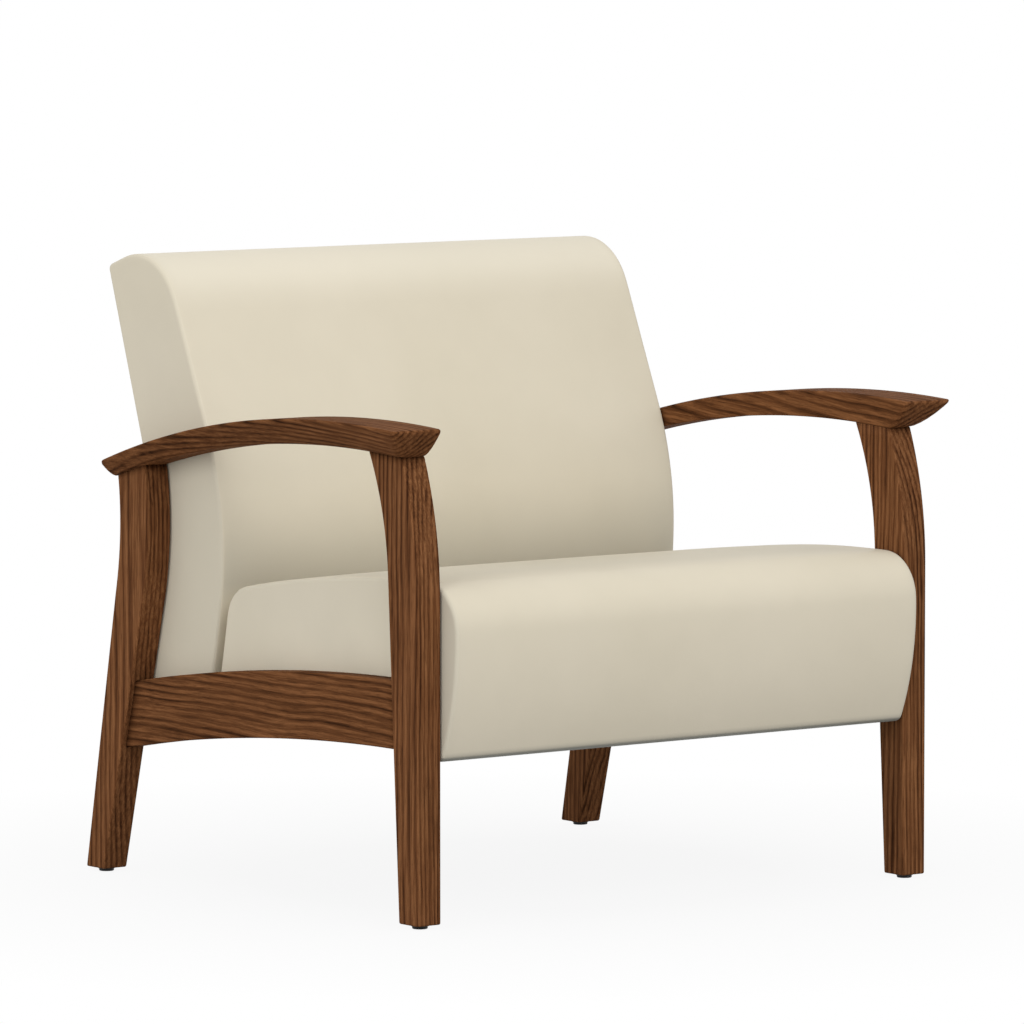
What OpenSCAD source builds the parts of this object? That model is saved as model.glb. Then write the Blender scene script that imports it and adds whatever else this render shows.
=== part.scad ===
// Bariatric armchair: a walnut arm frame on four levelling glides, with an upholstered seat and back.
// The front faces -Y, left and right are as seen from the front, and Z = 0 is the floor.
// Lengths along Y are taken from the front face of the front legs, and the whole chair is then
// centred over its own footprint.

/* [Side frames] */
// Clear width between the left and right legs
clear_w = 762; // [600:1:900]
// Width of every leg, side to side
leg_w = 38; // [34:1:50]
// Depth of the frame on the floor, front leg to rear leg
base_d = 738.5; // [700:1:800]
// Height of the crown of the arms
arm_h = 638; // [610:1:680]
// Small flat eased onto every long edge of a leg or stretcher
wood_ease = 2.5; // [1:0.1:4]

/* [Front legs] */
// Depth of a front leg at the floor
front_foot_d = 39; // [30:1:45]
// Depth of a front leg where its back edge starts to curve
front_mid_d = 62.5; // [58:0.5:68]
// Height where the back edge starts to curve
front_mid_h = 448; // [430:1:460]
// Radius of the back edge
front_back_r = 385; // [360:5:600]
// Height where the front edge starts to curve
front_bend_h = 418; // [390:1:440]
// Radius of the front edge
front_bend_r = 500; // [450:10:700]

/* [Rear legs] */
// Depth of a rear leg at the floor
rear_foot_d = 40; // [34:1:48]
// Depth of a rear leg from the knee up
rear_top_d = 64; // [56:0.5:70]
// Height of the knee, where the raked leg turns upright
rear_knee_h = 378; // [365:1:390]
// Distance of the knee's middle behind the front face of the front legs
rear_knee_y = 635; // [625:1:645]
// Radius of the knee
rear_bend_r = 450; // [420:5:600]

/* [Arms] */
// Thickness of an arm at its crown
arm_t = 36.5; // [30:0.5:44]
// Distance of the top's crown behind the front face of the front legs
arm_crown_y = 129; // [100:1:160]
// Radius of the arched top
arm_top_r = 1780; // [1500:10:2200]
// Distance of the underside's crown behind the front face of the front legs
arm_under_y = 174; // [150:1:200]
// Radius of the arched underside
arm_under_r = 1780; // [1450:10:2000]
// How far the top overhangs the leg outwards at the front
arm_over_front = 35.5; // [20:0.5:40]
// How far the top overhangs the leg outwards at the rear
arm_over_rear = 21.5; // [10:0.5:30]
// How far the nose reaches ahead of the front leg
arm_nose = 33.5; // [15:0.5:36]
// How far the tail reaches behind the rear leg
arm_tail = 8; // [4:0.5:16]
// Rounding of the top edges
arm_ease = 3; // [1:0.5:5]

/* [Stretchers] */
// Thickness of a side stretcher
stretcher_t = 30; // [24:1:34]
// Height of the stretcher's top edge at its crown
stretcher_top_h = 311.5; // [300:0.5:330]
// Height of the stretcher's bottom edge at its crown
stretcher_low_h = 224.5; // [215:0.5:235]
// Radius of the arched top edge
stretcher_top_r = 3320; // [2600:10:4200]
// Radius of the arched bottom edge
stretcher_low_r = 3330; // [2800:10:4400]

/* [Wood joints] */
// Diameter of the dowels
dowel_dia = 10; // [8:0.5:12]
// Depth of a dowel in an arm
arm_dowel_up = 14; // [10:1:16]
// Depth of an arm dowel in its leg
arm_dowel_down = 32; // [24:1:40]
// Distance between the two dowels of an arm joint
arm_dowel_pitch = 26; // [22:1:30]
// Depth of a stretcher dowel in its leg
rail_dowel_in = 24; // [18:1:28]
// Depth of a stretcher dowel in the stretcher
rail_dowel_out = 34; // [24:1:44]
// Radial clearance of a dowel, a glide stud and an insert in its bore
bore_gap = 0.05; // [0.02:0.01:0.1]

/* [Glides] */
// Height that a glide shows below its leg when it is screwed right in
glide_h = 5.3; // [4:0.1:8]
// Diameter of the glide's pad on the floor
glide_dia = 20; // [16:1:24]
// Diameter of the flange on top of the pad
glide_flange_dia = 23; // [20:1:28]
// Thickness of the flange
glide_flange_t = 1.8; // [1:0.1:2.5]
// Diameter of the glide's stud
stud_dia = 8; // [6:1:9]
// Outer diameter of the threaded insert that takes the stud
glide_insert_dia = 12; // [11:1:14]
// Length of that insert
glide_insert_l = 26; // [20:1:26]
// Travel of a glide when it is screwed out, which its stud keeps spare above the insert
glide_travel = 10; // [6:1:12]

/* [Seat] */
// Height of the seat's crown
seat_h = 436; // [425:1:450]
// Height of the seat at its rear edge, before rounding
seat_rear_h = 395; // [385:1:404]
// How far the seat's nose reaches ahead of the front legs
seat_nose = 31; // [20:1:40]
// Distance of the seat's rear bottom edge behind the front face of the front legs
seat_rear_y = 497; // [476:1:499]
// Forward lean of the seat's rear face over its height
seat_rear_lean = 34; // [24:1:38]
// Radius of the nose
seat_nose_r = 61; // [40:1:70]
// Height where the front face turns back under the nose
seat_under_h = 292; // [280:1:305]
// How far the front face runs back under the nose
seat_under_d = 33; // [20:1:40]
// Radius of the front face
seat_front_r = 376; // [250:1:420]
// Distance behind the front legs' front face where the top starts to fall
seat_fall_y = 238; // [220:1:260]
// Radius of the top's gentle fall
seat_fall_r = 1900; // [1500:10:2100]
// Radius of the rear top corner
seat_rear_r = 48; // [25:1:54]
// Height of the seat's underside
seat_base_h = 220; // [216:1:226]
// How far the front lip hangs below the underside
seat_lip_drop = 9.5; // [5:0.5:10]
// Distance of the lip's rear edge behind the front legs' front face
seat_lip_y = 60; // [58:1:70]
// Radius of the lip
seat_lip_r = 14; // [10:1:18]
// Gap between the upholstery and each leg
side_gap = 2; // [1:0.5:6]
// Thickness of the vinyl cover with its fibre wrap
cover_t = 6; // [4:0.5:7]
// Rounding of the upholstery's side edges
side_r = 5; // [4:0.5:14]
// Rounding of the upholstery's lower folds
fold_r = 8.5; // [7:0.5:12]
// Crown of the seat's top across its width
seat_crown = 1.5; // [1:0.5:8]
// Crown of the seat's front across its width
seat_front_crown = 3; // [1:0.5:5]

/* [Seat frame] */
// Thickness of the seat and back frame boards
board_t = 25; // [20:1:28]
// Height of the top of the seat frame
deck_h = 305; // [298:1:312]
// Distance of the front board behind the front legs' front face
front_board_y = 29; // [24:1:32]
// Foam between the rear board and the cover
rear_foam_t = 8; // [5:1:12]
// Leg length of the corner blocks
block_leg = 50; // [36:1:56]
// Height of the steel cross beams
beam_h = 50; // [40:1:54]
// Depth of the steel cross beams
beam_d = 25; // [20:1:27]
// Wall of the steel cross beams
beam_wall = 2.5; // [1.5:0.5:4]
// Width and height of the beams' end plates
plate_size = 62; // [60:1:66]
// Thickness of the end plates
plate_t = 5; // [4:0.5:8]
// Distance of the front beam behind the front legs' front face
front_beam_y = 150; // [145:1:180]
// Distance of the rear beam behind the front legs' front face
rear_beam_y = 335; // [310:1:345]
// Distance between the two bolts of an end plate
plate_bolt_pitch = 44; // [43:1:46]

/* [Seat suspension] */
// Number of seat springs
spring_count = 7; // [5:1:8]
// Diameter of the spring wire
wire_dia = 3.8; // [3:0.1:4.5]
// Width of a seat spring
spring_w = 44; // [40:1:54]
// Distance between the springs
spring_pitch = 94; // [70:1:100]
// Number of bars of a spring, an odd number
spring_bars = 17; // [13:2:21]
// Rise of a spring's middle
spring_arch = 14; // [8:1:18]
// Height of a spring's ends over the frame
spring_seat_h = 4.2; // [3.5:0.1:6]
// Width of a spring clip
clip_w = 20; // [14:1:22]
// Depth of a spring clip
clip_d = 12; // [10:1:16]
// Height of a spring clip
clip_h = 8; // [7.5:0.5:10]
// Thickness of the insulator pad on the springs
pad_t = 4; // [2:0.5:6]
// Thickness of the dust cover
dust_t = 1.2; // [0.8:0.1:2]
// Width of cover turned in under the seat frame
turn_in = 34; // [26:1:40]

/* [Back] */
// Height of the back's rear top edge
back_rear_h = 806; // [790:1:820]
// Distance of that edge behind the front legs' front face
back_rear_y = 740; // [725:1:750]
// Distance of the back's upright rear face behind the front legs' front face
back_low_y = 647; // [640:1:652]
// Height where the rear face starts to lean
back_bend_h = 525; // [515:1:545]
// Rise of the top face towards the front
back_top_rise = 40.5; // [32:0.5:48]
// Depth of the top face, before rounding
back_top_d = 120; // [105:1:128]
// Height of the lumbar bulge above the seat's rear edge
lumbar_rise = 91; // [80:1:105]
// Gap between the seat's rear face and the back
seat_back_gap = 17; // [6:0.5:22]
// Height of the underside of the back
back_base_h = 222; // [218:1:228]
// Radius of the front top edge
back_top_r = 96; // [60:1:100]
// Radius of the lumbar bulge
lumbar_r = 415; // [200:5:440]
// Radius of the bend in the rear face
back_bend_r = 350; // [250:1:450]
// Radius of the rear top edge
back_edge_r = 8; // [7:0.5:12]
// Crown of the back's front across its width
back_crown = 4; // [2:0.5:8]

/* [Back frame] */
// Depth of the side boards of the back
stile_d = 70; // [60:1:74]
// Distance from the back's rear top edge down to the frame
stile_top_gap = 26; // [20:1:34]
// Height of the top and bottom boards of the back
back_rail_h = 60; // [45:1:66]
// How far the lumbar board lies behind the webbing
lumbar_set_back = 8; // [5:1:12]
// Thickness of the webbing
web_t = 2; // [1.5:0.5:3]
// Width of a webbing strap
web_w = 50; // [40:1:60]
// Margin of the back cover round the outer panel
panel_margin = 26; // [20:1:34]
// Clearance round the outer panel
panel_gap = 0.3; // [0.2:0.1:0.6]

/* [Bolts] */
// Diameter of the bolts
bolt_dia = 8; // [6:0.5:8.5]
// Diameter of a bolt's head
bolt_head_dia = 13; // [12:0.5:14]
// Height of a bolt's head
bolt_head_h = 8; // [6:0.5:9]
// Size of the hexagon socket, across its corners
bolt_socket_dia = 6.9; // [5:0.1:7.5]
// Depth of the hexagon socket
bolt_socket_h = 4; // [3:0.5:5]
// Diameter of a washer
washer_dia = 16; // [15:0.5:17]
// Thickness of a washer
washer_t = 1.6; // [1:0.1:2.5]
// Diameter of a spacer between the frames
spacer_dia = 24; // [18:1:26]
// Outer diameter of a threaded insert
insert_dia = 12; // [11:0.5:13]
// Length of a threaded insert
insert_l = 20; // [16:1:24]
// Radial clearance of a bolt where it only passes through
bolt_gap = 0.5; // [0.3:0.1:1]

/* [Hidden] */

// Smoothness of turned pieces and bores
$fn = 48;
// Steps that every long wooden curve is cut into
wood_steps = 22;
// Steps of each rounded corner of the upholstery
corner_steps = 6;
// Steps of the upholstery's rounded side edge
edge_steps = 4;
// Sides of the spring wire
wire_sides = 6;
// Places across half the upholstery where its crown is shaped
crown_shares = [0, 0.35, 0.65, 0.87];
// Steps through an arm, as shares of its thickness, below its rounded top edge
arm_level_shares = [0, 0.05, 0.14, 0.3, 0.52, 0.76];
// Bulge of the arm's bevel: 1 is a flat bevel, less bulges outwards
arm_bevel_share = 0.68;
// Heights of the stretcher dowels, as shares of the stretcher's height
rail_dowel_shares = [0.25, 0.58];
// Heights of the bolts that hold the back to a rear leg, as shares from the stretcher to the arm's dowels
leg_bolt_shares = [0.53, 0.98];
// Middles of the webbing straps, as shares up the back's upright part and down its leaning part
web_low_shares = [0.17, 0.5, 0.83];
web_high_shares = [0.2, 0.52, 0.84];
// Overrun of cuts
over = 60;
// Least radius of a corner of the upholstery and its core
least_r = 1.2;
// Degrees in a full turn
full_turn = 360;

// Inner and outer face of the legs
leg_x0 = clear_w / 2;
leg_x1 = leg_x0 + leg_w;
// Half width of the upholstery, and of what its cover goes round
form_x = leg_x0 - side_gap;
core_x = form_x - cover_t;
// Middle of a stretcher across its thickness
stretcher_x = leg_x0 + stretcher_t / 2;

// Height of an arc of radius r at a distance d from its crown
function sag(d, r) = r - sqrt(r * r - d * d);
function sag_after(d, r) = d <= 0 ? 0 : sag(d, r);

// Front and back edge of the front leg at height z
function front_leg_y0(z) = sag_after(z - front_bend_h, front_bend_r);
function front_leg_y1(z) = front_foot_d + (front_mid_d - front_foot_d) * z / front_mid_h
  + sag_after(z - front_mid_h, front_back_r);

// Front and back edge of the rear leg at height z
rear_foot_y = base_d - rear_foot_d / 2;
function rear_leg_c(z) = rear_foot_y - (rear_foot_y - rear_knee_y) * z / rear_knee_h
  + sag_after(z - rear_knee_h, rear_bend_r);
function rear_leg_d(z) = z < rear_knee_h
  ? rear_foot_d + (rear_top_d - rear_foot_d) * z / rear_knee_h : rear_top_d;
function rear_leg_y0(z) = rear_leg_c(z) - rear_leg_d(z) / 2;
function rear_leg_y1(z) = rear_leg_c(z) + rear_leg_d(z) / 2;

// Top and underside of the arm, and top and bottom edge of the stretcher, at depth y
stretcher_crown_y = front_mid_d;
function arm_top_z(y) = arm_h - sag(y - arm_crown_y, arm_top_r);
function arm_under_z(y) = arm_h - arm_t - sag(y - arm_under_y, arm_under_r);
function stretcher_top_z(y) = stretcher_top_h - sag(y - stretcher_crown_y, stretcher_top_r);
function stretcher_low_z(y) = stretcher_low_h - sag(y - stretcher_crown_y, stretcher_low_r);

// Where the legs meet the arm's underside
arm_y0 = front_leg_y0(arm_under_z(front_leg_y0(arm_h - arm_t)));
arm_y1 = rear_leg_y1(arm_under_z(rear_leg_y1(arm_h - 2 * arm_t)));

// The seat's outline seen from the side, clockwise from the lip, and its corner radii
lip_h = seat_base_h - seat_lip_drop;
seat_points = [
  [seat_under_d - seat_nose, lip_h],
  [-seat_nose, seat_under_h],
  [-seat_nose, seat_h],
  [seat_fall_y, seat_h],
  [seat_rear_y - seat_rear_lean, seat_rear_h],
  [seat_rear_y, seat_base_h],
  [seat_lip_y + seat_lip_drop / 2, seat_base_h],
  [seat_lip_y, lip_h]
];
seat_radii = [seat_lip_r, seat_front_r, seat_nose_r, seat_fall_r, seat_rear_r, fold_r, least_r, fold_r];

// The back's outline seen from the side, clockwise from its front bottom edge, and its corner radii.
// Below the lumbar bulge it runs along the seat's rear face.
lumbar_h = seat_rear_h + lumbar_rise;
function back_front_y(z) = seat_rear_y + seat_back_gap
  - seat_rear_lean * (z - seat_base_h) / (seat_rear_h - seat_base_h);
back_points = [
  [back_front_y(back_base_h), back_base_h],
  [back_front_y(lumbar_h), lumbar_h],
  [back_rear_y - back_top_d, back_rear_h + back_top_rise],
  [back_rear_y, back_rear_h],
  [back_low_y, back_bend_h],
  [back_low_y, back_base_h]
];
back_radii = [fold_r, lumbar_r, back_top_r, back_edge_r, back_bend_r, fold_r];

// Corner of a closed outline, counted round
function at(p, i) = p[(i + len(p)) % len(p)];
function unit(v) = v / norm(v);
function run_in(p, i) = unit(p[i] - at(p, i - 1));
function run_out(p, i) = unit(at(p, i + 1) - p[i]);
function bend(a, b) = a[0] * b[1] - a[1] * b[0];
// Normal that points into a clockwise outline
function inward(v) = [v[1], -v[0]];
// A corner of the outline moved in by d, and its radius there
function inset_corner(p, i, d) =
  let (a = inward(run_in(p, i)), b = inward(run_out(p, i))) p[i] + d * (a + b) / (1 + a * b);
function inset_points(p, d) = [for (i = [0 : len(p) - 1]) inset_corner(p, i, d)];
function inset_radii(p, r, d) = [for (i = [0 : len(p) - 1])
  bend(run_in(p, i), run_out(p, i)) < 0 ? max(r[i] - d, least_r) : r[i] + d];

// Length that a corner's rounding takes of each of its sides, no more than the sides have
function half_turn(p, i) = acos(max(-1, min(1, run_in(p, i) * run_out(p, i)))) / 2;
function reach(p, r, i) = at(r, i) * tan(half_turn(p, (i + len(p)) % len(p)));
function room(p, r, i) = min(1,
  norm(p[i] - at(p, i - 1)) / (reach(p, r, i - 1) + reach(p, r, i)),
  norm(at(p, i + 1) - p[i]) / (reach(p, r, i) + reach(p, r, i + 1)));
function turned(v, a) = [v[0] * cos(a) - v[1] * sin(a), v[0] * sin(a) + v[1] * cos(a)];
function corner_arc(p, r, i) =
  let (
    a = run_in(p, i),
    side = bend(a, run_out(p, i)) < 0 ? -1 : 1,
    r_fit = r[i] * min(1, room(p, r, i)),
    start = p[i] - a * r_fit * tan(half_turn(p, i)),
    mid = start - side * r_fit * inward(a)
  )
  [for (k = [0 : corner_steps])
    mid + turned(start - mid, side * 2 * half_turn(p, i) * k / corner_steps)];
function rounded(p, r) = [for (i = [0 : len(p) - 1]) each corner_arc(p, r, i)];
function inset_outline(p, r, d) = rounded(inset_points(p, d), inset_radii(p, r, d));

// The seat's boards, front and rear, and their bottom edges
deck_lean = seat_rear_lean * (deck_h - seat_base_h) / (seat_rear_h - seat_base_h);
rear_board_y1 = seat_rear_y - deck_lean - cover_t - rear_foam_t;
rear_board_y0 = rear_board_y1 - board_t;
front_board_y1 = front_board_y + board_t;
board_z0 = seat_base_h + cover_t;
// Height of the top of the springs, and the pad on them
spring_top_h = deck_h + spring_seat_h + spring_arch + wire_dia / 2;
pad_z0 = spring_top_h + bore_gap;
pad_z1 = pad_z0 + pad_t;
// Height of the beams' middle
beam_z = (board_z0 + deck_h) / 2;

// Places on the back: d in from the rear face, s down its leaning part, or z on its upright part
back_rear_top = back_points[3];
lean_run = unit(back_points[4] - back_rear_top);
function lean_at(d, s) = back_rear_top + d * inward(lean_run) + s * lean_run;
function upright_at(d, z) = [back_low_y - d, z];
function bend_at(d) = inset_corner(back_points, 4, d);
stile_z0 = back_base_h + cover_t;
stile_in = cover_t + stile_d;
web_in = stile_in + web_t;
lean_l = norm(back_points[4] - back_rear_top);
lean_angle = atan2(-lean_run[0], -lean_run[1]);
stile_x = core_x - board_t;

// Where the chair's bolts are, as depth and height
beam_ys = [front_beam_y, rear_beam_y];
stile_mid_y = back_low_y - cover_t - stile_d / 2;
leg_bolt_z0 = stretcher_top_z(stile_mid_y);
leg_bolt_z1 = arm_under_z(stile_mid_y) - arm_dowel_down - insert_dia;
leg_bolt_zs = [for (s = leg_bolt_shares) leg_bolt_z0 + s * (leg_bolt_z1 - leg_bolt_z0)];
low_bolt_y = stile_mid_y + insert_dia / 2;
function leg_bolt_y(z) = (rear_leg_y0(z) + back_low_y - cover_t) / 2;
seat_bolts = [for (y = beam_ys, side = [-1, 1]) [y + side * plate_bolt_pitch / 2, beam_z]];
leg_bolts = [for (z = leg_bolt_zs) [leg_bolt_y(z), z]];
low_bolt = [low_bolt_y, (stile_z0 + stretcher_top_z(low_bolt_y)) / 2];
back_bolts = concat(leg_bolts, [low_bolt]);
rail_bolts = concat(seat_bolts, [low_bolt]);
all_bolts = concat(seat_bolts, back_bolts);

// The chair's middle, front to back
front_y = -seat_nose - seat_front_crown;
back_rear_end = max([for (q = inset_outline(back_points, back_radii, 0)) q[0]]);
mid_y = (front_y + max(rear_leg_y1(glide_h), back_rear_end)) / 2;

walnut = "#5f3c28";
cream = "#cfc6b1";
board = "#c9a877";
steel = "#8d9196";

// Everything is placed from the front face of the front legs, then centred
module chair() translate([0, -mid_y, 0]) children();
// A piece of the right side, and its mirror image on the left
module on_side(side) mirror([side < 0 ? 1 : 0, 0, 0]) children();
module both_sides() for (side = [-1, 1]) on_side(side) children();
// A side view extruded across the chair from x0 to x1
module across(x0, x1) translate([x0, 0, 0]) rotate([90, 0, 90])
  linear_extrude(height = x1 - x0) children();
// A round bar across the chair at depth and height p
module bar(p, x0, x1, dia) translate([x0, p[0], p[1]]) rotate([0, 90, 0])
  cylinder(h = x1 - x0, d = dia);

// A closed skin over rings of points. Each ring is two sides of equal count, so that its ends close
// with a strip of triangles from side to side.
module skin(rings) {
  n = len(rings[0]);
  last = len(rings) - 1;
  walls = [for (j = [0 : last - 1], i = [0 : n - 1])
    let (a = j * n + i, b = j * n + (i + 1) % n, c = b + n, d = a + n)
    each [[a, b, c], [a, c, d]]];
  first_cap = [for (i = [0 : n / 2 - 2])
    let (a = i, b = i + 1, c = n - 2 - i, d = n - 1 - i) each [[a, c, b], [a, d, c]]];
  last_cap = [for (i = [0 : n / 2 - 2])
    let (o = last * n, a = o + i, b = o + i + 1, c = o + n - 2 - i, d = o + n - 1 - i)
    each [[a, b, c], [a, c, d]]];
  polyhedron(points = [for (r = rings) each r], faces = concat(walls, first_cap, last_cap));
}

// An upright leg from its front and back edges, with eased corners
leg_levels = [for (i = [0 : wood_steps]) glide_h + (arm_h - glide_h) * i / wood_steps];
function leg_ring(y0, y1, z) = let (e = wood_ease) [
  [leg_x1 - e, y0, z], [leg_x1, y0 + e, z], [leg_x1, y1 - e, z], [leg_x1 - e, y1, z],
  [leg_x0 + e, y1, z], [leg_x0, y1 - e, z], [leg_x0, y0 + e, z], [leg_x0 + e, y0, z]
];
module front_leg_blank() skin([for (z = leg_levels) leg_ring(front_leg_y0(z), front_leg_y1(z), z)]);
module rear_leg_blank() skin([for (z = leg_levels) leg_ring(rear_leg_y0(z), rear_leg_y1(z), z)]);
module front_leg_outline() polygon(concat(
  [for (z = leg_levels) [front_leg_y0(z), z]],
  [for (i = [wood_steps : -1 : 0]) [front_leg_y1(leg_levels[i]), leg_levels[i]]]));
module rear_leg_outline() polygon(concat(
  [for (z = leg_levels) [rear_leg_y0(z), z]],
  [for (i = [wood_steps : -1 : 0]) [rear_leg_y1(leg_levels[i]), leg_levels[i]]]));

// An arm's ring at a share t of its thickness. Its front and outer sides reach out over the leg by a
// share of the overhang, and its tail is cut upright.
function arm_bevel(t) = pow(t, arm_bevel_share);
function arm_station(i, reach) =
  let (y0 = arm_y0 - arm_nose * reach, y1 = arm_y1 + arm_tail) y0 + (y1 - y0) * i / wood_steps;
function arm_over(i) = arm_over_front + (arm_over_rear - arm_over_front) * i / wood_steps;
function arm_ring(t, reach, ease) = concat(
  [for (i = [0 : wood_steps])
    let (y = arm_end(i, reach, ease))
    [leg_x1 + arm_over(i) * reach - ease, y, arm_z(y, t)]],
  [for (i = [wood_steps : -1 : 0])
    let (y = arm_end(i, reach, ease))
    [leg_x0 + ease, y, arm_z(y, t)]]);
function arm_end(i, reach, ease) = i == 0 ? arm_station(i, reach) + ease
  : i == wood_steps ? arm_station(i, reach) - ease : arm_station(i, reach);
function arm_z(y, t) = arm_under_z(y) + (arm_top_z(y) - arm_under_z(y)) * t;
arm_ease_share = 1 - arm_ease / arm_t;
module arm_blank() skin(concat(
  [for (t = arm_level_shares) arm_ring(t, arm_bevel(t), 0)],
  [arm_ring(arm_ease_share, arm_bevel(arm_ease_share), 0), arm_ring(1, 1, arm_ease)]));
// Everything above the arm's underside, which trims the tops of the legs
module above_legs() across(leg_x0 - over, leg_x1 + over) polygon(concat(
  [[arm_y0 - over, arm_under_z(arm_y0)]],
  [for (i = [0 : wood_steps]) let (y = arm_station(i, 0)) [y, arm_under_z(y)]],
  [[arm_y1 + over, arm_under_z(arm_y1)], [arm_y1 + over, arm_h + over], [arm_y0 - over, arm_h + over]]));

// Two dowels in each arm joint and each stretcher joint
front_joint_z = arm_under_z((arm_y0 + front_leg_y1(arm_h - arm_t)) / 2);
rear_joint_z = arm_under_z(rear_leg_c(arm_h - 2 * arm_t));
front_dowel_y = (front_leg_y0(front_joint_z - arm_dowel_down / 2)
  + front_leg_y1(front_joint_z - arm_dowel_down / 2)) / 2;
rear_dowel_y = rear_leg_c(rear_joint_z - arm_dowel_down / 2);
arm_dowel_ys = [for (y = [front_dowel_y, rear_dowel_y], side = [-1, 1]) y + side * arm_dowel_pitch / 2];
module arm_dowel_set(dia, slack) for (y = arm_dowel_ys)
  translate([leg_x0 + leg_w / 2, y, arm_under_z(y) - arm_dowel_down - slack])
    cylinder(h = arm_dowel_down + arm_dowel_up + 2 * slack, d = dia);
function stretcher_end(y, s) = stretcher_low_z(y) + s * (stretcher_top_z(y) - stretcher_low_z(y));
rear_end_y = rear_leg_y0((stretcher_low_h + stretcher_top_h) / 2 - rear_top_d);
module lengthwise(z, y0, y1, dia) translate([stretcher_x, y0, z]) rotate([-90, 0, 0])
  cylinder(h = y1 - y0, d = dia);
module rail_dowel_set(dia, slack) for (s = rail_dowel_shares) {
  z0 = stretcher_end(front_mid_d, s);
  z1 = stretcher_end(rear_end_y, s);
  lengthwise(z0, front_leg_y1(z0) - rail_dowel_in - slack, front_leg_y1(z0) + rail_dowel_out + slack, dia);
  lengthwise(z1, rear_leg_y0(z1) - rail_dowel_out - slack, rear_leg_y0(z1) + rail_dowel_in + slack, dia);
}
dowel_hole = dowel_dia + 2 * bore_gap;

// The bore for a glide's stud and its threaded insert, up into a leg
module glide_bore(y) translate([leg_x0 + leg_w / 2, y, 0]) {
  cylinder(h = glide_h + glide_insert_l, d = glide_insert_dia + 2 * bore_gap);
  cylinder(h = glide_h + stud_l + stud_dia, d = stud_dia + 2 * bolt_gap);
}
module insert_bores(places) for (p = places)
  bar(p, leg_x0 - over, leg_x0 + insert_l + bore_gap, insert_dia + 2 * bore_gap);
front_foot_c = front_foot_d / 2;
rear_foot_c = rear_leg_c(glide_h);
stud_l = glide_insert_l + glide_travel;

module front_leg(side) color(walnut) chair() on_side(side) difference() {
  front_leg_blank();
  above_legs();
  arm_dowel_set(dowel_hole, bore_gap);
  rail_dowel_set(dowel_hole, bore_gap);
  glide_bore(front_foot_c);
}
module rear_leg(side) color(walnut) chair() on_side(side) difference() {
  rear_leg_blank();
  above_legs();
  arm_dowel_set(dowel_hole, bore_gap);
  rail_dowel_set(dowel_hole, bore_gap);
  glide_bore(rear_foot_c);
  insert_bores(leg_bolts);
}
module arm(side) color(walnut) chair() on_side(side) difference() {
  arm_blank();
  arm_dowel_set(dowel_hole, bore_gap);
}

// An arched stretcher between the legs of one side
function stretcher_ring(y) =
  let (x0 = leg_x0, x1 = x0 + stretcher_t, z0 = stretcher_low_z(y), z1 = stretcher_top_z(y), e = wood_ease)
  [[x0, y, z1 - e], [x0 + e, y, z1], [x1 - e, y, z1], [x1, y, z1 - e],
    [x1, y, z0 + e], [x1 - e, y, z0], [x0 + e, y, z0], [x0, y, z0 + e]];
stretcher_y1 = rear_leg_c(stretcher_low_h - rear_top_d);
module side_stretcher(side) color(walnut) chair() on_side(side) difference() {
  skin([for (i = [0 : wood_steps])
    stretcher_ring(front_foot_c + (stretcher_y1 - front_foot_c) * i / wood_steps)]);
  across(leg_x0 - over, leg_x1 + over) front_leg_outline();
  across(leg_x0 - over, leg_x1 + over) rear_leg_outline();
  rail_dowel_set(dowel_hole, bore_gap);
  insert_bores(rail_bolts);
}

module arm_dowels() color(board) chair() both_sides() arm_dowel_set(dowel_dia, 0);
module stretcher_dowels() color(board) chair() both_sides() rail_dowel_set(dowel_dia, 0);

// A glide's threaded insert, stud and foot
module glide_inserts() color(steel) chair() both_sides() for (y = [front_foot_c, rear_foot_c])
  translate([leg_x0 + leg_w / 2, y, glide_h]) difference() {
    cylinder(h = glide_insert_l, d = glide_insert_dia);
    translate([0, 0, -over]) cylinder(h = glide_insert_l + 2 * over, d = stud_dia + 2 * bore_gap);
  }
module glide_stud(side, y) color(steel) chair() on_side(side)
  translate([leg_x0 + leg_w / 2, y, glide_h - glide_flange_t]) cylinder(h = stud_l, d = stud_dia);
module glide_foot(side, y) color("#1b1b1c") chair() on_side(side)
  translate([leg_x0 + leg_w / 2, y, 0]) difference() {
    union() {
      cylinder(h = glide_h - bore_gap, d = glide_dia);
      translate([0, 0, glide_h - glide_flange_t])
        cylinder(h = glide_flange_t - bore_gap, d = glide_flange_dia);
    }
    translate([0, 0, glide_h - glide_flange_t]) cylinder(h = glide_h, d = stud_dia);
  }

// The upholstery's outside: the outline carried across the chair, drawn in at its side edges
function edge_station(k) =
  let (a = 90 * k / edge_steps) [form_x - side_r * (1 - cos(a)), side_r * (1 - sin(a))];
half_stations = concat(
  [for (k = [0 : edge_steps]) edge_station(k)],
  [for (i = [len(crown_shares) - 1 : -1 : 0]) [(form_x - side_r) * crown_shares[i], 0]]);
stations = concat(
  [for (s = half_stations) [-s[0], s[1]]],
  [for (i = [len(half_stations) - 2 : -1 : 0]) half_stations[i]]);
function bow(x) = 1 - pow(x / form_x, 2);
function ramp(v, v0, v1) = let (t = max(0, min(1, (v - v0) / (v1 - v0)))) t * t * (3 - 2 * t);
seat_mid_h = (seat_h + seat_base_h) / 2;
function seat_swell(x, q) = [
  x,
  q[0] - seat_front_crown * bow(x) * ramp(-q[0], -seat_nose_r, seat_nose) * ramp(q[1], lip_h, seat_under_h),
  q[1] + seat_crown * bow(x) * ramp(q[1], seat_mid_h, seat_rear_h)
];
function back_face_y(z) = back_low_y
  + (back_rear_y - back_low_y) * max(0, z - back_bend_h) / (back_rear_h - back_bend_h);
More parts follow.
